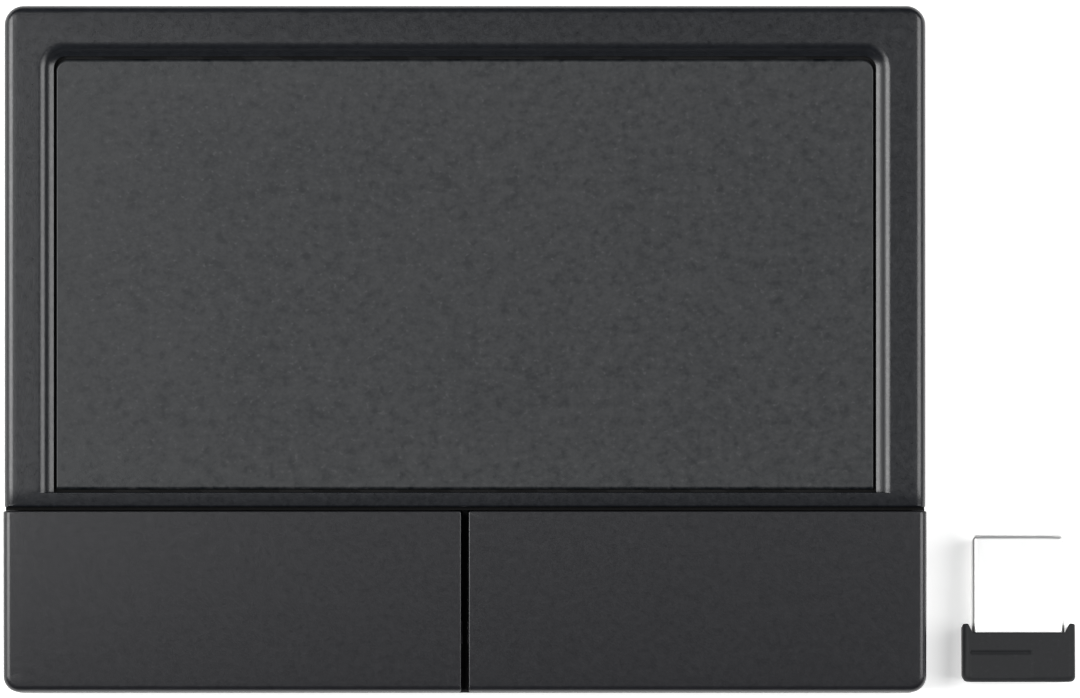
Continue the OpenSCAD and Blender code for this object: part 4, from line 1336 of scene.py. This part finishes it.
@dataclass
class Receiver:
    """The small radio receiver, in millimetres: a grip with two cheeks, and a plug with its works."""

    grip_h: float = 6.5
    grip_d: float = 6.6
    half_width: float = 7.35
    edge_r: float = 0.9
    corner_share: float = 0.9
    tail_r: float = 0.6
    tail_lean: float = 0.85
    ear_reach: float = 1.15
    ear_from: float = 6.0
    ear_to: float = 6.7
    rear_r: float = 0.2
    # Rows round the tail, along the sides, near the rim of the rear face and from there to its middle
    tail_rows: int = 12
    side_rows: int = 60
    rim_rows: int = 12
    hub_rows: int = 5
    face_rim: float = 0.2
    face_hub: float = 0.2
    # The thumb panel, which fades out between these depths below the top
    panel: Sides = (-6.3, 1.7, 0.7, 3.95)
    panel_deep: float = 0.06
    groove_deep: float = 0.2
    groove_w: float = 0.2
    soft: float = 0.12
    fade: Span = (0.3, 0.05)
    plug_half: Span = (6.0, 2.25)
    plug_corner_r: float = 0.6
    plug_start: float = 1.4
    plug_end: float = 19.4
    sheet: float = 0.3
    nose_run: float = 0.6
    nose_draw: float = 0.3
    window_x: Span = (1.6, 4.45)
    window_y: Span = (7.2, 9.2)
    works: tuple[str, ...] = ("plug_tongue", "plug_contacts", "receiver_board", "receiver_chip")

    def ear(self, x: np.ndarray) -> np.ndarray:
        """How far the grip reaches back at a distance from its axis: a smooth step up to the cheeks."""
        return self.ear_reach * smooth_step(self.ear_from, self.ear_to, np.abs(x))

    def dent(self, x: np.ndarray, y: np.ndarray) -> np.ndarray:
        """Depth of the thumb panel in the grip's top.

        A shallow recess with soft edges, plus a groove along its rear edge whose depth falls off as
        exp(-(d / w)^2).

        Args:
            x: distance across from the axis.
            y: distance from the tail.

        Returns:
            Depth below the plain top.
        """
        left, right, front, rear = self.panel
        s = self.soft
        across = smooth_step(left - s, left + s, x) * (1 - smooth_step(right - s, right + s, x))
        along = smooth_step(front - s, front + s, y) * (1 - smooth_step(rear - s, rear + s, y))
        groove = np.exp(-((y - rear) / self.groove_w) ** 2)
        return across * (self.panel_deep * along + self.groove_deep * groove)

    @staticmethod
    def section(half_x: np.ndarray, half_z: np.ndarray, radius: np.ndarray, turn: int,
                run: int) -> np.ndarray:
        """Rounded rectangles across the axis, as loops of (x, z) round the middle height."""
        sides = np.stack([-half_x, half_x, -half_z, half_z], 1)
        return rounded_loops(sides, np.repeat(radius[:, None], 4, axis=1), turn, run)

    def grip(self) -> Skin:
        """The grip: sections from the tail to the rear face, which follows the cheeks.

        Near the tail a section is drawn in by r - sqrt(r r - (r - y) (r - y)), with one radius across and
        another up and down. Each point's place along the axis is stretched to the rear face, the tail leans
        in towards its foot, and the top is lowered by the dent.

        Returns:
            Points and faces.
        """
        top = self.grip_h / 2
        straight = np.linspace(self.tail_r, self.grip_d - self.rear_r, self.side_rows)[1:]
        way = np.concatenate([self.tail_r * np.linspace(0, 1, self.tail_rows) ** 2, straight])
        in_x, in_z = (r - np.sqrt(r * r - np.clip(r - way, 0, r) ** 2) for r in (self.tail_r, self.edge_r))
        draw, back = (side[1:, 0] for side in quarter((self.rear_r,) * 4, steps=4))
        rim = np.linspace(0, self.face_rim, self.rim_rows + 1)[1:]
        face = np.concatenate([rim, np.linspace(self.face_rim, 1, self.hub_rows + 1)[1:]])
        half_x = np.concatenate([self.half_width - in_x, self.half_width - draw])
        half_z = np.concatenate([top - in_z, top - draw])
        half_x, half_z = (np.append(half, half[-1] * (1 - face)) for half in (half_x, half_z))
        half_x, half_z = (np.maximum(half, self.face_hub) for half in (half_x, half_z))
        way = np.concatenate([way, self.grip_d - back, np.full(len(face), self.grip_d)])[:, None]
        radius = np.minimum(self.edge_r, self.corner_share * np.minimum(half_x, half_z))
        x, z = np.moveaxis(self.section(half_x, half_z, radius, turn=8, run=70), -1, 0)
        y = way * (1 + self.ear(x) / self.grip_d)
        dent = self.dent(x, y) * smooth_step(top - self.fade[0], top - self.fade[1], z)
        lean = self.tail_lean * (1 - (z + top) / self.grip_h) * (1 - way / self.grip_d)
        return loft(np.stack([x, y + lean, z + top - dent], -1))

    def sleeve(self) -> Skin:
        """The plug's sleeve as a thin open sheet with a bevelled nose and two windows in its underside.

        Rounded rectangles follow each other along the axis, and the last is drawn in by the bevel. The faces
        whose middles lie in a window are left out.

        Returns:
            Points and faces.
        """
        near, far = self.window_y
        way = self.plug_end - np.array([self.plug_end - self.plug_start, far, near, self.nose_run, 0])
        draw = np.array([0, 0, 0, 0, self.nose_draw])
        half_x, half_z = (half - draw for half in self.plug_half)
        plan = self.section(half_x, half_z, self.plug_corner_r - draw, turn=8, run=4)
        x, z = plan[..., 0], plan[..., 1] + self.grip_h / 2
        points, faces = loft(np.stack([x, way[:, None] + 0 * x, z], -1), Ends.OPEN)
        across, along, up = np.abs(points[np.array(faces)].mean(axis=1)).T
        inside = (across > self.window_x[0]) & (across < self.window_x[1])
        window = inside & (along > way[1]) & (along < way[2]) & (up < z.min() + LEAST_R)
        return points, [face for face, cut in zip(faces, window) if not cut]

    def build(self, shop: Workshop) -> None:
        """Makes and dresses the receiver's pieces.

        Seen from the rear the loops turn clockwise, so the faces are turned round.

        Args:
            shop: where pieces are finished.
        """
        low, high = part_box("receiver_grip")
        origin = np.array([(low.x + high.x) / 2, low.y, low.z])
        pieces = (("thumb_grip", "receiver_grip", self.grip(), 0.0),
                  ("plug_shell", "plug_sleeve", self.sleeve(), self.sheet))
        for name, node, (points, faces), sheet in pieces:
            shop.skin(name, node, points * MM + origin, [face[::-1] for face in faces], sheet)
        shop.dress(*self.works)


# Studio


@dataclass(frozen=True)
class SoftBox:
    """A soft box: its place seen from the middle of the table, its size in metres and its brightness."""

    name: str
    side: Side
    off_vertical: float
    radiance: float
    reach: float = 0.9
    size: Span = (0.7, 0.5)

    def hang(self) -> None:
        """Hangs the box, turned towards the middle of the table and unseen by the camera."""
        data = bpy.data.lights.new(self.name, "AREA")
        data.shape = "RECTANGLE"
        data.size, data.size_y = self.size
        data.energy = self.radiance * math.pi * self.size[0] * self.size[1]
        lamp = placed(self.name, data)
        lean = self.side.value * math.radians(self.off_vertical)
        spot = Vector((math.sin(lean), 0, math.cos(lean))) * self.reach
        lamp.matrix_world = Matrix.Translation(spot) @ Matrix.Rotation(lean, 4, "Y")
        lamp.visible_camera = False


@dataclass
class Studio:
    """A pale table under two soft boxes and a low one, seen square to the deck through a long lens."""

    deck: Deck
    view_mm: float = 140.65
    target_mm: tuple[float, float, float] = (9.782, 0.025, 0.0)
    lens_mm: float = 400.0
    sensor_mm: float = 36.0
    clip_end: float = 50.0
    sky: Colour = (0.075, 0.08, 0.09)
    floor_half: float = 3.0
    floor_drop: float = 0.00005
    floor_colour: Colour = (0.86, 0.86, 0.855)
    floor_shade: float = 0.99
    floor_patch_mm: float = 60.0
    floor_roughness: float = 0.85
    floor_glow: float = 0.6
    boxes: tuple[SoftBox, ...] = (SoftBox("left_soft_box", Side.LEFT, 37.0, 8.0),
                                  SoftBox("left_low_box", Side.LEFT, 74.0, 1.5, size=(0.3, 0.6)),
                                  SoftBox("right_soft_box", Side.RIGHT, 40.0, 5.4))

    def camera(self) -> None:
        """Looks down the deck's normal, with the photograph's width across the frame at the deck."""
        data = bpy.data.cameras.new("camera")
        data.lens, data.sensor_width, data.clip_end = self.lens_mm, self.sensor_mm, self.clip_end
        seat = placed("camera", data)
        distance = self.view_mm / self.sensor_mm * self.lens_mm
        target, middle = (self.deck.place(np.array(spot)) for spot in (self.target_mm, (0.0, 0.0, 0.0)))
        across, up, out = ((self.deck.place(axis) - middle) / MM for axis in np.eye(3))
        turn = Matrix((across, up, out)).transposed().to_4x4()
        seat.matrix_world = Matrix.Translation(Vector(target + out * distance * MM)) @ turn
        bpy.context.scene.camera = seat

    def floor(self) -> None:
        """Lays a pale table top, faintly uneven and lit a little from below as a light table is."""
        corners = np.array([[-1, -1, 0], [1, -1, 0], [1, 1, 0], [-1, 1, 0]]) * self.floor_half
        corners[:, 2] = -self.floor_drop
        mesh = bpy.data.meshes.new("table_top")
        mesh.from_pydata(corners.tolist(), [], [[0, 1, 2, 3]])
        table = placed("table_top", mesh)
        paint = Painter("pale_table")
        patches = paint.noise(self.floor_patch_mm)
        colour = paint.mix(patches, scaled(self.floor_colour, self.floor_shade), self.floor_colour)
        paint.feed("Base Color", colour)
        paint.feed("Roughness", self.floor_roughness)
        paint.feed("Emission Color", colour)
        paint.feed("Emission Strength", self.floor_glow)
        mesh.materials.append(paint.material)

    def world(self) -> None:
        """Fills the room with dim even light, and shows colours as they are."""
        scene = bpy.context.scene
        scene.world = bpy.data.worlds.new("room")
        scene.world.use_nodes = True
        scene.world.node_tree.nodes["Background"].inputs["Color"].default_value = (*self.sky, 1)
        scene.view_settings.view_transform = "Standard"

    def build(self) -> None:
        """Sets the studio up."""
        self.camera()
        for box in self.boxes:
            box.hang()
        self.floor()
        self.world()


def main() -> None:
    """Builds the sub-assemblies in order, then the studio."""
    logging.basicConfig(level=logging.INFO, format="%(name)s: %(message)s")
    casing = Casing()
    pad = TouchPad(casing)
    deck = Deck.under("touch_overlay", pad.middle)
    shop = Workshop(Finishes())
    TopFrame(casing, deck).build(shop)
    pad.build(shop, deck)
    for side in Side:
        Button(casing, deck, side).build(shop)
    Base().build(shop)
    Receiver().build(shop)
    Studio(deck).build()
    bpy.context.view_layer.update()


if __name__ == "__main__":
    main()
